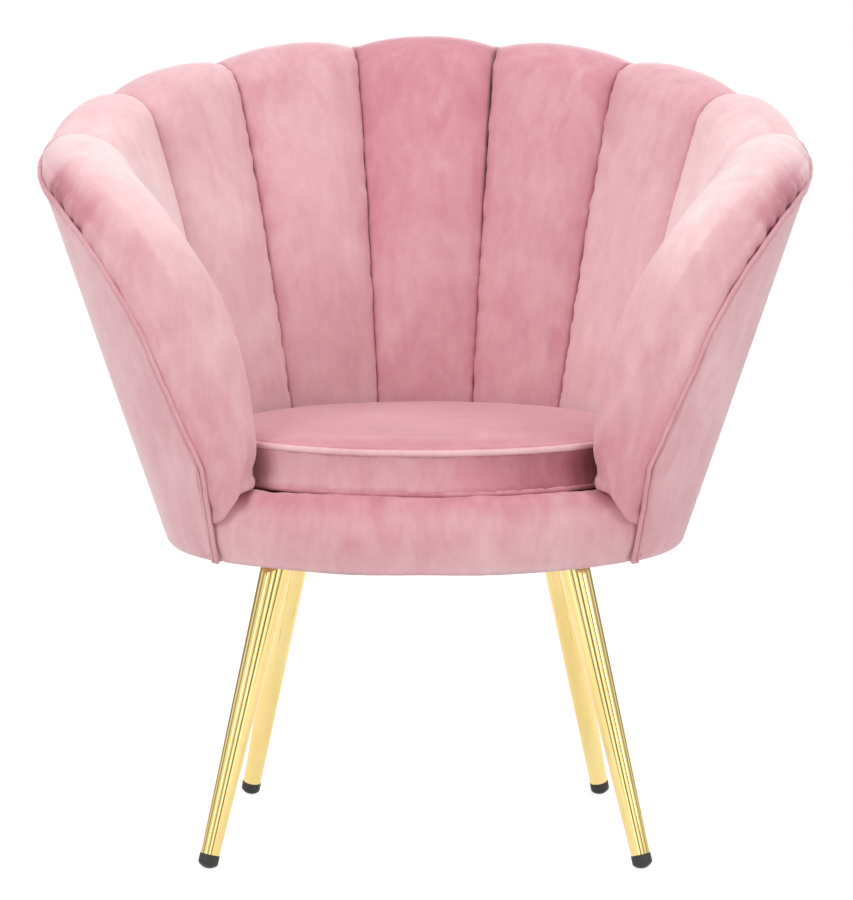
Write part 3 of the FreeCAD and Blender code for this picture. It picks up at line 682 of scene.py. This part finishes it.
pads = {}
waiting = []
CHANNELS = [("back_pad_middle", 0)]
for number in (1, 2, 3):
    CHANNELS += [("back_pad_%d_right" % number, number), ("back_pad_%d_left" % number, -number)]
ARMS = [("arm_pad_right", 1), ("arm_pad_left", -1)]
pad_nodes = [node for node, _ in CHANNELS + ARMS]
frame_nodes = [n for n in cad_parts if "board" in n] + ["top_hoop", "seat_ring", "outer_cover"]

for node, number in CHANNELS + ARMS:
    made = soft_start(node, node.replace("pad", "channel") if "back" in node else node + "_cover", VOXEL)
    points = points_of(made)
    fixed = distance_to(frame_nodes, points) < HELD_TO_FRAME
    sides = distance_to([n for n in pad_nodes if n != node], points) < HELD_TO_PADS
    held = np.where(fixed | sides, 1.0, 0.0)
    if "arm" in node:
        sewn = distance_to(["front_apron", "edge_welt"], points) < HELD_TO_EDGE
        held = np.maximum(held, np.where(sewn, 1.0, 0.0))
    drawn_in(made, held, PAD_SHRINK)
    pads[node] = made
    waiting.append((made, held, PAD_SWELL))

apron = soft_start("front_apron", "apron_cover", APRON_VOXEL)
points = points_of(apron)
nailed = distance_to(["front_rail", "base_ring"] + [n for n, _ in ARMS], points) < HELD_TO_PADS
held = np.where(nailed | (points[:, 2] < BASE_HEIGHT + HELD_TO_PADS), 1.0, 0.0)
drawn_in(apron, held, APRON_SHRINK)
waiting.append((apron, held, APRON_SWELL))

cushion_low, cushion_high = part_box("cushion_side_band")
SEAM_LOW, SEAM_HIGH = cushion_low.z, cushion_high.z
cushion = soft_start("cushion_foam", "seat_cushion", CUSHION_VOXEL)
points = points_of(cushion)
at_rim = np.exp(-(to_rims(points) / RIM_REACH) ** 2)
move_points(cushion, points + normals_of(cushion) * (CUSHION_GROWTH + RIM_GROWTH * at_rim)[:, None])
points = points_of(cushion)
held = np.where((to_rims(points) < HELD_TO_RIM) | (points[:, 2] < SEAM_LOW), 1.0, 0.0)
waiting.append((cushion, held, CUSHION_SWELL))

puff(waiting)


def dressed(made, body, *nodes):
    """Smooth velvet on a body, in place of the CAD nodes."""
    shade(made, 60.0)
    finished(made, body, "velvet", VELVET, *nodes)


# Channels. Tones say how the pile lies from the middle channel outwards, with painted sheen: the outer
# channels are paler, as velvet seen at a slant. They are given at the foot, and what the top adds.
FOOT_TONES = (0.27, 0.56, 0.96, 1.60)
TOP_TONES = (-0.33, -0.18, -0.40, -0.86)
RIGHT_TONES = {1: -0.22, 2: -0.12}
TONE_CHANGE = (0.55, 0.80)
# Painted crease shade: how much darker the tone is beside a seam, and how far that reaches.
CREASE_SHADE_TONE, CREASE_SHADE_REACH = -0.30, 0.005
PULL_DEPTH, PULL_REACH, CHANNEL_RIPPLE = 0.0011, 0.014, 0.0013
# Small pinches in the rolled top edge: how far from its ends, their pitch and straying, and their shape.
PINCH_MARGIN, PINCH_PITCH, PINCH_STRAY = 0.45, 0.031, 0.004
PINCH_WIDTH, PINCH_DEPTH, PINCH_REACH = 0.005, 0.0016, 0.016
PINCHES = []
for place_along in np.arange(PINCH_MARGIN, EDGE_LENGTH - PINCH_MARGIN, PINCH_PITCH):
    strayed = place_along + PINCH_STRAY * math.sin(910.0 * place_along)
    PINCHES.append((strayed, PINCH_WIDTH, PINCH_DEPTH, PINCH_REACH))


def shallow_seams(made, centre):
    """Fills the shoulders beside a channel's seams, so that the channels meet in shallow creases."""
    points, normals = points_of(made), normals_of(made)
    angles, radius = round_shell(points)
    turn = np.radians(angles)
    sideways = sideways_at(turn)
    offset = turn - math.radians(centre)
    gap = np.maximum(math.radians(CHANNEL_PITCH / 2) - np.abs(offset), 0.0) * radius
    flat = normals - sideways * np.sum(normals * sideways, axis=1)[:, None]
    points = points + flat * (SEAM_FILL * np.exp(-(gap / SEAM_REACH) ** 2))[:, None]
    widen = np.minimum(SEAM_WIDEN * np.exp(-(gap / WIDEN_REACH) ** 2), np.maximum(gap - SEAM_GAP, 0.0))
    move_points(made, points + sideways * (np.sign(offset) * widen)[:, None])


def finish_channel(node, number):
    """Soft ripples over the foam, and small pulls where the cover is sewn down into the seams."""
    centre, side = number * CHANNEL_PITCH, abs(number)
    shallow_seams(pads[node], centre)
    made = refined(pads[node])
    points, normals = points_of(made), normals_of(made)
    angles, radius = round_shell(points)
    to_seam = np.clip(np.radians(CHANNEL_PITCH / 2 - np.abs(angles - centre)) * radius, 0, None)
    pulls = ripples(points, scale=55.0, seed=3 + number, stretch=(0.5, 0.5, 1.0))
    pulls *= np.exp(-to_seam / PULL_REACH)
    wide = ripples(points, scale=9.0, seed=11 + number, stretch=(1.0, 1.0, 0.6))
    move_points(made, points + normals * (PULL_DEPTH * pulls + CHANNEL_RIPPLE * wide)[:, None])
    gathers(made, EDGE, PINCHES)
    # The pile's lie and painted sheen: the outer channels paler, the tops and two right channels darker.
    top = smooth(*TONE_CHANGE, points[:, 2])
    tone = FOOT_TONES[side] + RIGHT_TONES.get(number, 0.0) + TOP_TONES[side] * top
    # Painted shade darkens the tone in the crease beside each seam.
    set_nap_and_painted_light(made, tone + CREASE_SHADE_TONE * np.exp(-to_seam / CREASE_SHADE_REACH))
    dressed(made, "chair", node)


for node, number in CHANNELS:
    finish_channel(node, number)

# Arms. Each tuck is a place along the right edge, a width, a depth and a reach.
ARM_TUCKS = ((0.566, 0.006, 0.0050, 0.012), (0.540, 0.005, 0.0025, 0.010), (0.514, 0.007, 0.0040, 0.014),
             (0.470, 0.006, 0.0020, 0.010), (0.436, 0.006, 0.0040, 0.013), (0.406, 0.008, 0.0045, 0.016),
             (0.382, 0.005, 0.0050, 0.014), (0.366, 0.007, 0.0060, 0.020), (0.340, 0.006, 0.0035, 0.013),
             (0.324, 0.005, 0.0030, 0.012), (0.290, 0.009, 0.0025, 0.014), (0.240, 0.008, 0.0020, 0.012),
             (0.060, 0.007, 0.0030, 0.014))
# The lower tip of the cover comes down to the apron's corner. The pairs are where that starts and is in full.
FLAP_DROP, FLAP_LEAN = 0.024, 0.12
FLAP_ACROSS, FLAP_UP, FLAP_AHEAD = (0.166, 0.210), (0.425, 0.376), (0.13, 0.16)
CORNER_PUSH, CORNER_HEIGHT, CORNER_SPREAD, CORNER_ACROSS = 0.009, 0.380, 0.022, (0.192, 0.165)
LIP_SWELL, LIP_REACH = 0.0026, 0.010
ARM_RIPPLE, ARM_PULL, ARM_PULL_REACH = 0.0018, 0.0012, 0.03
# The arms' tone: a dark, broken-up patch below the roll; paler on the crest and the roll's top as painted
# light, and on the inner face as painted sheen; darker low down, in tucks and beside the welt as painted
# shade.
ARM_TONE, PATCH_TONE, LOW_TONE, TUCK_TONE, WELT_TONE = 0.50, -1.38, -0.30, -70.0, -0.2
CREST_TONE, ROLL_TONE, INNER_TONE = 0.45, 0.22, 0.12
PATCH_HEIGHT, PATCH_TALL, PATCH_WIDE, PATCH_BREAKUP = 0.668, 0.038, 0.045, 0.8


def finish_arm(node, side):
    """The cover is gathered along the welt, with the deepest tucks where the arm's top turns to its front."""
    made = pads[node]
    points = points_of(made)
    ahead = AXIS_Y - points[:, 1]
    across = np.abs(points[:, 0])
    flap = FLAP_DROP * smooth(*FLAP_ACROSS, across) * smooth(*FLAP_UP, points[:, 2])
    flap *= smooth(*FLAP_AHEAD, ahead)
    points += np.outer(flap, (-FLAP_LEAN * side, COVER_SLANT / COVER_KNEE, -1.0))
    corner = CORNER_PUSH * np.exp(-((points[:, 2] - CORNER_HEIGHT) / CORNER_SPREAD) ** 2)
    points[:, 0] += corner * smooth(*CORNER_ACROSS, across) * side
    move_points(made, points)
    refined(made)
    points, normals = points_of(made), normals_of(made)
    away, _ = near_path(points, EDGE)
    wide = ripples(points, scale=8.0, seed=31 + side, stretch=(1.0, 1.0, 0.6))
    small = ripples(points, scale=40.0, seed=37 + side) * np.exp(-away / ARM_PULL_REACH)
    lip = LIP_SWELL * np.exp(-away / LIP_REACH)
    move_points(made, points + normals * (ARM_RIPPLE * wide + ARM_PULL * small + lip)[:, None])
    tucks = [(where if side > 0 else EDGE_LENGTH - where, *shape) for where, *shape in ARM_TUCKS]
    sunk = gathers(made, EDGE, tucks)
    points, normals = points_of(made), normals_of(made)
    away, _ = near_path(points, EDGE)
    front = smooth(AXIS_Y - 0.02, AXIS_Y - 0.15, points[:, 1])
    patch = np.exp(-(((points[:, 2] - PATCH_HEIGHT) / PATCH_TALL) ** 2 + (away / PATCH_WIDE) ** 2)) * front
    patch *= 1.0 + PATCH_BREAKUP * ripples(points, scale=24.0, seed=41 + side, stretch=(1.0, 1.0, 0.6))
    # Painted light on the upward crest and the roll's top, and painted sheen on the inner face.
    crest = smooth(0.2, 0.9, normals[:, 2]) * CREST_TONE + ROLL_TONE * smooth(0.60, 0.66, points[:, 2])
    inner = smooth(0.1, -0.7, normals[:, 0] * side) * INNER_TONE
    # Painted shade: darker low down, in the tucks and beside the welt.
    low = smooth(0.56, 0.42, points[:, 2])
    tone = ARM_TONE + crest + inner + PATCH_TONE * patch + LOW_TONE * low + TUCK_TONE * sunk
    set_nap_and_painted_light(made, tone + WELT_TONE * np.exp(-away / 0.008))
    dressed(made, "chair", node)


for node, side in ARMS:
    finish_arm(node, side)

# Front apron. Pairs are where a change starts and is in full, as heights, radii or degrees from the front.
CROWN_UP, CROWN_OUT, CROWN_TURN, CROWN_RAISE = (0.352, 0.372), (0.235, 0.246), (44.0, 34.0), 0.0035
PLEAT_DEPTH, PLEAT_MORE, PLEAT_TURN, PLEAT_SPREAD = 0.0012, 1.2, 46.0, 7.0
APRON_RIPPLE = 0.0012
END_TURN, END_DOWN, END_REACH, END_REACH_LOW = (47.0, 50.0), (0.345, 0.305), 0.002, 0.005
# The apron's tone: darker along the crown, paler low down as painted light, and pleats with painted
# highlights on their crests and painted shade in their hollows.
APRON_TONE, CROWN_TONE, APRON_LOW_TONE, PLEAT_TONE = 0.34, -0.36, 0.25, 0.3


def finish_apron():
    """Pulled over the rail, with short pleats along its top edge, and ends that reach out to the arms."""
    refined(apron)
    points, normals = points_of(apron), normals_of(apron)
    angles, radius = round_shell(points)
    from_front = 180.0 - np.abs(angles)
    crown = smooth(*CROWN_UP, points[:, 2])
    lower = smooth(*END_DOWN, points[:, 2])
    pleats = ripples(points, scale=60.0, seed=5, stretch=(1.0, 1.0, 0.2)) * crown
    ends = np.exp(-((from_front - PLEAT_TURN) / PLEAT_SPREAD) ** 2)
    wide = ripples(points, scale=12.0, seed=8)
    out = PLEAT_DEPTH * pleats * (1.0 + PLEAT_MORE * ends) + APRON_RIPPLE * wide
    shape = points + normals * out[:, None]
    reach = smooth(*END_TURN, from_front) * (END_REACH + END_REACH_LOW * lower)
    shape -= sideways_at(np.radians(angles)) * (np.sign(angles) * reach)[:, None]
    shape[:, 2] += CROWN_RAISE * crown * smooth(*CROWN_OUT, radius) * smooth(*CROWN_TURN, from_front)
    move_points(apron, shape)
    # Painted light low down, painted highlights on the pleats' crests and painted shade in their hollows.
    set_nap_and_painted_light(apron, APRON_TONE + CROWN_TONE * crown + APRON_LOW_TONE * lower + PLEAT_TONE * pleats * crown)
    dressed(apron, "chair", "front_apron")


finish_apron()

# Seat cushion.
TOP_RIPPLE, RIM_PULL, RIM_PULL_REACH = 0.0012, 0.0009, 0.02
TOP_TONE, BAND_TONE, BAND_SHADE, BAND_ACROSS = -0.03, 0.40, -1.15, (-0.03, 0.16)


def finish_cushion():
    """A crowned top and a side band between corded seams, with the band's pile darker to the right."""
    refined(cushion)
    points, normals = points_of(cushion), normals_of(cushion)
    on_top = smooth(SEAM_HIGH - 0.001, SEAM_HIGH + 0.004, points[:, 2])
    wide = ripples(points, scale=10.0, seed=21)
    to_cord, _ = near_path(points, cushion_outline(PIPING_RADIUS, SEAM_HIGH))
    small = ripples(points, scale=34.0, seed=23) * np.exp(-to_cord / RIM_PULL_REACH)
    move_points(cushion, points + normals * (TOP_RIPPLE * wide * on_top + RIM_PULL * small)[:, None])
    band = BAND_TONE + BAND_SHADE * smooth(*BAND_ACROSS, points[:, 0])
    set_nap_and_painted_light(cushion, mix(band, TOP_TONE, on_top))
    dressed(cushion, "cushion", "cushion_top", "cushion_side_band", "cushion_bottom")


finish_cushion()

# Cords: two round the cushion, and two side by side along the edge of the outer cover.
for name, height, inset, nap_and_painted_light in (("top", SEAM_HIGH, PIPING_RADIUS, 0.75),
                                 ("bottom", SEAM_LOW - 0.001, PIPING_RADIUS + 0.002, 0.1)):
    cord = along(CORD_TREE, "cushion_cord_" + name, cushion_outline(inset, height), VELVET, "cushion",
                 "velvet", ("cushion_piping_" + name,), closed=True, Radius=0.0031, Step=0.005, Waver=0.0008)
    set_nap_and_painted_light(cord, np.full(len(cord.data.vertices), nap_and_painted_light))
for number, name in enumerate(("inner", "outer")):
    path = edge_path((number + 0.5) * WELT_WIDTH, -WELT_DEPTH + 0.0006)
    cord = along(CORD_TREE, "edge_cord_" + name, path, VELVET, "chair", "velvet",
                 ("edge_welt",), Radius=0.0023, Step=0.004, Waver=0.0030)
    set_nap_and_painted_light(cord, np.full(len(cord.data.vertices), 0.30))


# Outer cover

COVER_COLUMNS, COVER_ROWS = 130, 72
COVER_TONE, COVER_MOTTLE, COVER_RIPPLE = 0.48, 0.15, 0.0012


def outer_cover():
    """The plain panel round the outside, from under the base up to the edge of the shell."""
    edge = np.array(edge_outline(-0.0005))
    lengths = np.concatenate([[0.0], np.cumsum(np.linalg.norm(np.diff(edge, axis=0), axis=1))])
    share = np.linspace(0.0, 1.0, COVER_COLUMNS)
    half_y = np.interp(share * lengths[-1], lengths, edge[:, 0])
    half_z = np.interp(share * lengths[-1], lengths, edge[:, 1])
    top_angle = []
    for y, z in zip(half_y, half_z):
        top_angle.append(math.degrees(math.acos(max(-1.0, min(1.0, y / cone_radius(z))))))
    top_angle[-1] = 0.0
    foot_angle = [top_angle[0] * (1.0 - s) for s in share]
    columns = list(zip(foot_angle, top_angle, half_z))
    columns += [(-a, -b, z) for a, b, z in columns[-2::-1]]
    lean = math.atan(FLARE)
    turn = (math.pi / 2 - lean) / 2
    centre_r = BASE_RADIUS - COVER_EDGE_RADIUS * math.tan(turn)
    start_z = BASE_HEIGHT + COVER_EDGE_RADIUS * (1.0 - math.sin(lean))
    rows = []
    for radius in np.linspace(BASE_RADIUS - COVER_TURN_IN, centre_r, 5):
        rows.append([place(radius, a, BASE_HEIGHT) for a, b, z in columns])
    for step in np.linspace(0.15, 1.0, 7):
        bend = step * 2 * turn
        radius = centre_r + COVER_EDGE_RADIUS * math.sin(bend)
        height = BASE_HEIGHT + COVER_EDGE_RADIUS * (1.0 - math.cos(bend))
        rows.append([place(radius, a, height) for a, b, z in columns])
    for step in np.linspace(0.0, 1.0, COVER_ROWS)[1:]:
        row = []
        for a, b, z in columns:
            height = mix(start_z, max(z, start_z), step)
            row.append(place(cone_radius(height), mix(a, b, step), height))
        rows.append(row)
    return cleaned(grid("outer_cover_panel", rows), 1e-4)


cover = outer_cover()
points, normals = points_of(cover), normals_of(cover)
outwards = np.sum(normals * (points - np.array([0.0, AXIS_Y, 0.3])), axis=1)
if np.median(outwards) < 0:
    cover.data.flip_normals()
    normals = normals_of(cover)
above_base = smooth(BASE_HEIGHT + 0.02, BASE_HEIGHT + 0.08, points[:, 2])
off_edge = smooth(0.004, 0.03, near_path(points, EDGE)[0])
slack = ripples(points, scale=6.0, seed=51, stretch=(1.0, 1.0, 0.5)) * above_base * off_edge
move_points(cover, points + normals * (COVER_RIPPLE * slack)[:, None])
with_modifier(cover, "SOLIDIFY", thickness=COVER_THICKNESS, offset=-1.0, use_rim=True)
set_nap_and_painted_light(cover, COVER_TONE + COVER_MOTTLE * ripples(points_of(cover), scale=5.0, seed=53))
shade(cover, 50.0)
finished(cover, "chair", "velvet", VELVET, "outer_cover")


# Legs

LEG_TOP_RADIUS, LEG_FOOT_RADIUS, LEG_WALL, LEG_LIP, LEG_SPARE = 0.0155, 0.0095, 0.0015, 0.0006, 0.02
CAP_DOME, CAP_FLAT, CAP_HEIGHT, CAP_WALL, CAP_LIP, CAP_GAP = 0.0125, 0.0005, 0.0015, 0.0005, 0.0003, 0.0001
LEG_SIDES, CAP_SIDES = 96, 64
PLATE_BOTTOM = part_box("leg_plate_front_left")[0].z
# The middle of each right leg's foot on the floor, and of its top under the plate, as x and y from the axis.
LEGS = {"front": ((0.2155, -0.175), (0.146, -0.118)), "back": ((0.1915, 0.175), (0.132, 0.122))}


def leg_tube(name, centre, direction):
    """A tapered tube that is cut off level under its plate."""
    length = (PLATE_BOTTOM - centre.z) / direction.z
    taper = (LEG_TOP_RADIUS - LEG_FOOT_RADIUS) / length
    foot = LEG_FOOT_RADIUS
    profile = [(0.0, foot - LEG_WALL), (0.0, foot - LEG_LIP), (LEG_LIP, foot)]
    profile += [(length * s, foot + taper * length * s) for s in (0.02, 0.1, 0.3, 0.5, 0.7, 0.9, 1.0)]
    profile += [(length + LEG_SPARE, LEG_TOP_RADIUS + taper * LEG_SPARE),
                (length + LEG_SPARE, LEG_TOP_RADIUS - LEG_WALL)]
    leg = lathe(name, profile + profile[:1], centre, direction, LEG_SIDES)
    shape = bmesh.new()
    shape.from_mesh(leg.data)
    cut = bmesh.ops.bisect_plane(shape, geom=shape.verts[:] + shape.edges[:] + shape.faces[:],
                                 plane_co=(0, 0, PLATE_BOTTOM), plane_no=(0, 0, 1), clear_outer=True)
    rim = [e for e in cut["geom_cut"] if isinstance(e, bmesh.types.BMEdge)]
    bmesh.ops.bridge_loops(shape, edges=rim)
    bmesh.ops.recalc_face_normals(shape, faces=shape.faces)
    shape.to_mesh(leg.data)
    shape.free()
    return shade(leg)


def foot_shoe(name, centre, direction):
    """A domed shoe round the leg's end, flat where it stands on the floor."""
    radius = LEG_FOOT_RADIUS + CAP_WALL
    profile = [(-math.sqrt(CAP_DOME ** 2 - r * r), r) for r in np.linspace(0.0001, radius * 0.98, 16)]
    profile += [(profile[-1][0] + 0.0012, radius), (-0.003, radius), (0.0004, radius)]
    profile += [(CAP_HEIGHT - CAP_LIP, radius), (CAP_HEIGHT, radius - CAP_LIP)]
    profile += [(CAP_HEIGHT, LEG_FOOT_RADIUS + CAP_GAP), (0.0, LEG_FOOT_RADIUS + CAP_GAP)]
    shoe = lathe(name, profile, centre, direction, CAP_SIDES)
    points = points_of(shoe)
    points[:, 2] = np.maximum(points[:, 2], 0.0)
    move_points(shoe, points)
    return shade(cleaned(shoe))


for end, (foot, top) in LEGS.items():
    for side, sign in (("right", 1.0), ("left", -1.0)):
        start = Vector((foot[0] * sign, foot[1] + AXIS_Y, 0.0))
        finish = Vector((top[0] * sign, top[1] + AXIS_Y, PLATE_BOTTOM))
        direction = (finish - start).normalized()
        centre = start + direction * ((CAP_DOME - CAP_FLAT) / direction.z)
        ending = "_%s_%s" % (end, side)
        tube = leg_tube("leg_tube" + ending, centre, direction)
        finished(tube, "chair", "gold_metal", GOLD, "leg" + ending)
        shoe = foot_shoe("foot_shoe" + ending, centre, direction)
        finished(shoe, "chair", "foot_rubber", FOOT, "foot_cap" + ending)


# Cloths and small parts

DECK_SKIRT = 0.019
# The skirt's section: how far each fold lies out from the cloth's edge, and how far down.
SKIRT_FOLDS = ((0.0009, 0.0004), (0.0014, 0.002), (0.0014, DECK_SKIRT), (0.0004, DECK_SKIRT), (0.0004, 0.002))
CLOTH_SIDES, CLOTH_RINGS, CLOTH_RIPPLE_SCALE = 96, 26, 14.0


def level_ring(radius, height, count=180):
    turns = np.linspace(0.0, 2 * math.pi, count, endpoint=False)
    return np.array([(radius * math.cos(t), AXIS_Y + radius * math.sin(t), height) for t in turns])


def cloth_face(radius, height, share, slack, seed):
    """One ring of a round cloth's face, with a slight slackness."""
    row = []
    for x, y, _ in level_ring(radius * share, height, CLOTH_SIDES):
        spot = Vector(((x * CLOTH_RIPPLE_SCALE) + seed, (y - AXIS_Y) * CLOTH_RIPPLE_SCALE, 0.0))
        row.append(Vector((x, y, height + slack * noise.noise(spot) * (1.0 - share ** 4))))
    return row


def cloth_disc(name, radius, low, high, slack, seed, folds=()):
    """A round cloth, and the skirt over the edge that its folds give."""
    shares = np.linspace(0.0, 1.0, CLOTH_RINGS)
    rows = [cloth_face(radius, high, share, slack, seed) for share in shares]
    rows += [list(level_ring(radius + out, high - down, CLOTH_SIDES)) for out, down in folds]
    rows += [cloth_face(radius, low, share, slack, seed) for share in shares[::-1]]
    return shade(cleaned(grid(name, rows, closed=True)))


deck_low, deck_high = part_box("deck_cloth")
deck = cloth_disc("deck_cloth_panel", DECK_RADIUS, deck_low.z, deck_high.z, 0.0004, 4.0, SKIRT_FOLDS)
finished(deck, "chair", "deck_fabric", DECK, "deck_cloth")
dust_low, dust_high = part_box("dust_cover")
DUST_RADIUS = (dust_high.x - dust_low.x) / 2
dust = cloth_disc("dust_cloth_panel", DUST_RADIUS, dust_low.z, dust_high.z, 0.0005, 9.0)
finished(dust, "chair", "dust_fabric", DUST, "dust_cover")

STAPLE_INSET = 0.010
staple_line = level_ring(DUST_RADIUS - STAPLE_INSET, dust_low.z - 0.0001)
along(ROW_TREE, "dust_cloth_staples", staple_line, ZINC, "chair", "screw_steel", closed=True,
      Spacing=0.030, Along=0.0100, Across=0.0011, Tall=0.0010, Turn=0.25)

zip_low, zip_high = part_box("cushion_zip")
ZIP_HEIGHT = (zip_low.z + zip_high.z) / 2
ZIP_RADIUS = zip_high.y - AXIS_Y - CUSHION_CENTRES[1] + 0.0004
ZIP_TURN, ZIP_STITCH = 33.0, 0.0075


def zip_line(height):
    turns = np.radians(np.linspace(-ZIP_TURN, ZIP_TURN, 120))
    middle = AXIS_Y + CUSHION_CENTRES[1]
    return np.array([(ZIP_RADIUS * math.sin(t), middle + ZIP_RADIUS * math.cos(t), height) for t in turns])


along(ROW_TREE, "cushion_zip_teeth", zip_line(ZIP_HEIGHT), ZIPPER, "cushion", "zip_tape",
      Spacing=0.0026, Along=0.0016, Across=0.0012, Tall=0.0052, Turn=0.0)
for name, lift in (("upper", ZIP_STITCH), ("lower", -ZIP_STITCH)):
    stitch_line = zip_line(ZIP_HEIGHT + lift)
    along(ROW_TREE, "cushion_zip_stitches_" + name, stitch_line, ZIPPER, "cushion", "zip_tape",
          Spacing=0.0042, Along=0.0030, Across=0.0007, Tall=0.0007, Turn=0.0)


# Camera, lamps and stage

CAMERA_ASIDE, CAMERA_BACK, CAMERA_HEIGHT, CAMERA_PITCH, CAMERA_LENS = 0.0012, 3.4, 0.771, 6.3, 133.4
camera_data = bpy.data.cameras.new("camera")
camera_data.lens = CAMERA_LENS
camera_data.sensor_width = 36.0
camera = bpy.data.objects.new("camera", camera_data)
camera.location = (CAMERA_ASIDE, AXIS_Y - CAMERA_BACK, CAMERA_HEIGHT)
camera.rotation_euler = (math.radians(90.0 - CAMERA_PITCH), 0.0, 0.0)
scene.collection.objects.link(camera)
scene.camera = camera
scene.view_settings.view_transform = "Standard"


def lamp(name, spot, size, power):
    """A large soft lamp that points at the seat."""
    data = bpy.data.lights.new(name, "AREA")
    data.shape = "RECTANGLE"
    data.size, data.size_y = size
    data.energy = power
    made = bpy.data.objects.new(name, data)
    made.location = spot
    made.rotation_euler = (Vector(SEAT) - Vector(spot)).to_track_quat("-Z", "Y").to_euler()
    scene.collection.objects.link(made)


SEAT = (0.0, 0.0, 0.5)
lamp("key_lamp", (-1.7, -2.4, 2.3), (1.6, 1.6), 42.0)
lamp("fill_lamp", (2.2, -1.8, 1.5), (1.4, 1.8), 20.0)
lamp("top_lamp", (0.0, 0.3, 2.9), (2.0, 2.0), 19.0)
lamp("back_lamp", (0.6, 2.6, 1.8), (1.6, 1.2), 14.0)

# The sky is white to the camera and in mirrors, and softer as a lamp.
SKY_LIGHT, FLOOR_SHADE, FLOOR_GLOW, FLOOR_BOUNCE, FLOOR_HALF = 0.67, 0.36, 0.79, 0.75, 9


def grey(value):
    return (value, value, value, 1.0)


def seen_or_mirrored(tree):
    """One for rays from the camera and for mirrored rays, else nothing."""
    rays = add_node(tree, "ShaderNodeLightPath").outputs
    return add_node(tree, "ShaderNodeMath", {0: rays["Is Camera Ray"], 1: rays["Is Glossy Ray"]},
                    operation="MAXIMUM").outputs[0]


def mixed(tree, share, first, second):
    return add_node(tree, "ShaderNodeMixShader", {0: share, 1: first.outputs[0], 2: second.outputs[0]})


world = bpy.data.worlds.new("studio")
world.use_nodes = True
scene.world = world
sky = world.node_tree
sky.nodes.clear()
soft = add_node(sky, "ShaderNodeBackground", {"Color": grey(1.0), "Strength": SKY_LIGHT})
white = add_node(sky, "ShaderNodeBackground", {"Color": grey(1.0), "Strength": 1.0})
add_node(sky, "ShaderNodeOutputWorld", {0: mixed(sky, seen_or_mirrored(sky), soft, white).outputs[0]})


def floor_material():
    """A pale floor that keeps the chair's shadow and lets a view from below through."""
    made = bpy.data.materials.new("pale_floor")
    made.use_nodes = True
    tree = made.node_tree
    tree.nodes.clear()
    matt = add_node(tree, "ShaderNodeBsdfDiffuse", {"Color": grey(FLOOR_SHADE)})
    glow = add_node(tree, "ShaderNodeEmission", {"Strength": FLOOR_GLOW})
    both = add_node(tree, "ShaderNodeAddShader", {0: matt.outputs[0], 1: glow.outputs[0]})
    plain = add_node(tree, "ShaderNodeBsdfDiffuse", {"Color": grey(FLOOR_BOUNCE)})
    either = mixed(tree, seen_or_mirrored(tree), plain, both)
    below = add_node(tree, "ShaderNodeNewGeometry").outputs["Backfacing"]
    top_only = mixed(tree, below, either, add_node(tree, "ShaderNodeBsdfTransparent"))
    add_node(tree, "ShaderNodeOutputMaterial", {0: top_only.outputs[0]})
    return made


floor_corners = [(x * FLOOR_HALF, y * FLOOR_HALF, 0) for x, y in ((-1, -1), (1, -1), (1, 1), (-1, 1))]
floor = new_object("floor", mesh_of("floor", floor_corners, [(0, 1, 2, 3)]))
floor.data.materials.append(floor_material())

# Tall cards round the stage that only polished metal mirrors, as streaks along the legs.
CARD_REACH, CARD_TALL, CARD_LIGHT = 2.6, 3.2, (1.0, 0.97, 0.92, 1.0)


def card(name, turn, wide, strength):
    """One card at a turn from the front, with its width as seen from the chair, both in degrees."""
    middle = math.radians(turn)
    half = CARD_REACH * math.tan(math.radians(wide / 2))
    centre = Vector((CARD_REACH * math.sin(middle), AXIS_Y - CARD_REACH * math.cos(middle), 0.0))
    aside = Vector((math.cos(middle), math.sin(middle), 0.0)) * half
    up = Vector((0, 0, CARD_TALL))
    corners = [centre - aside, centre + aside, centre + aside + up, centre - aside + up]
    made = new_object(name, mesh_of(name, corners, [(0, 1, 2, 3)]))
    paint = bpy.data.materials.new(name + "_paint")
    paint.use_nodes = True
    tree = paint.node_tree
    tree.nodes.clear()
    shine = add_node(tree, "ShaderNodeEmission", {"Color": CARD_LIGHT, "Strength": strength})
    add_node(tree, "ShaderNodeOutputMaterial", {0: shine.outputs[0]})
    made.data.materials.append(paint)
    made.visible_camera = False
    made.visible_diffuse = False
    made.visible_shadow = False
    made.visible_transmission = False


CARDS = ((-128.0, 34.0, 0.30), (-84.0, 16.0, 0.42), (-50.0, 10.0, 2.2), (-26.0, 7.0, 0.22), (-8.0, 8.0, 2.4),
         (9.0, 9.0, 0.16), (25.0, 9.0, 2.0), (46.0, 12.0, 0.34), (88.0, 18.0, 0.45), (130.0, 34.0, 0.32))
for number, (turn, wide, strength) in enumerate(CARDS, 1):
    card("studio_card_%d" % number, turn, wide, strength)
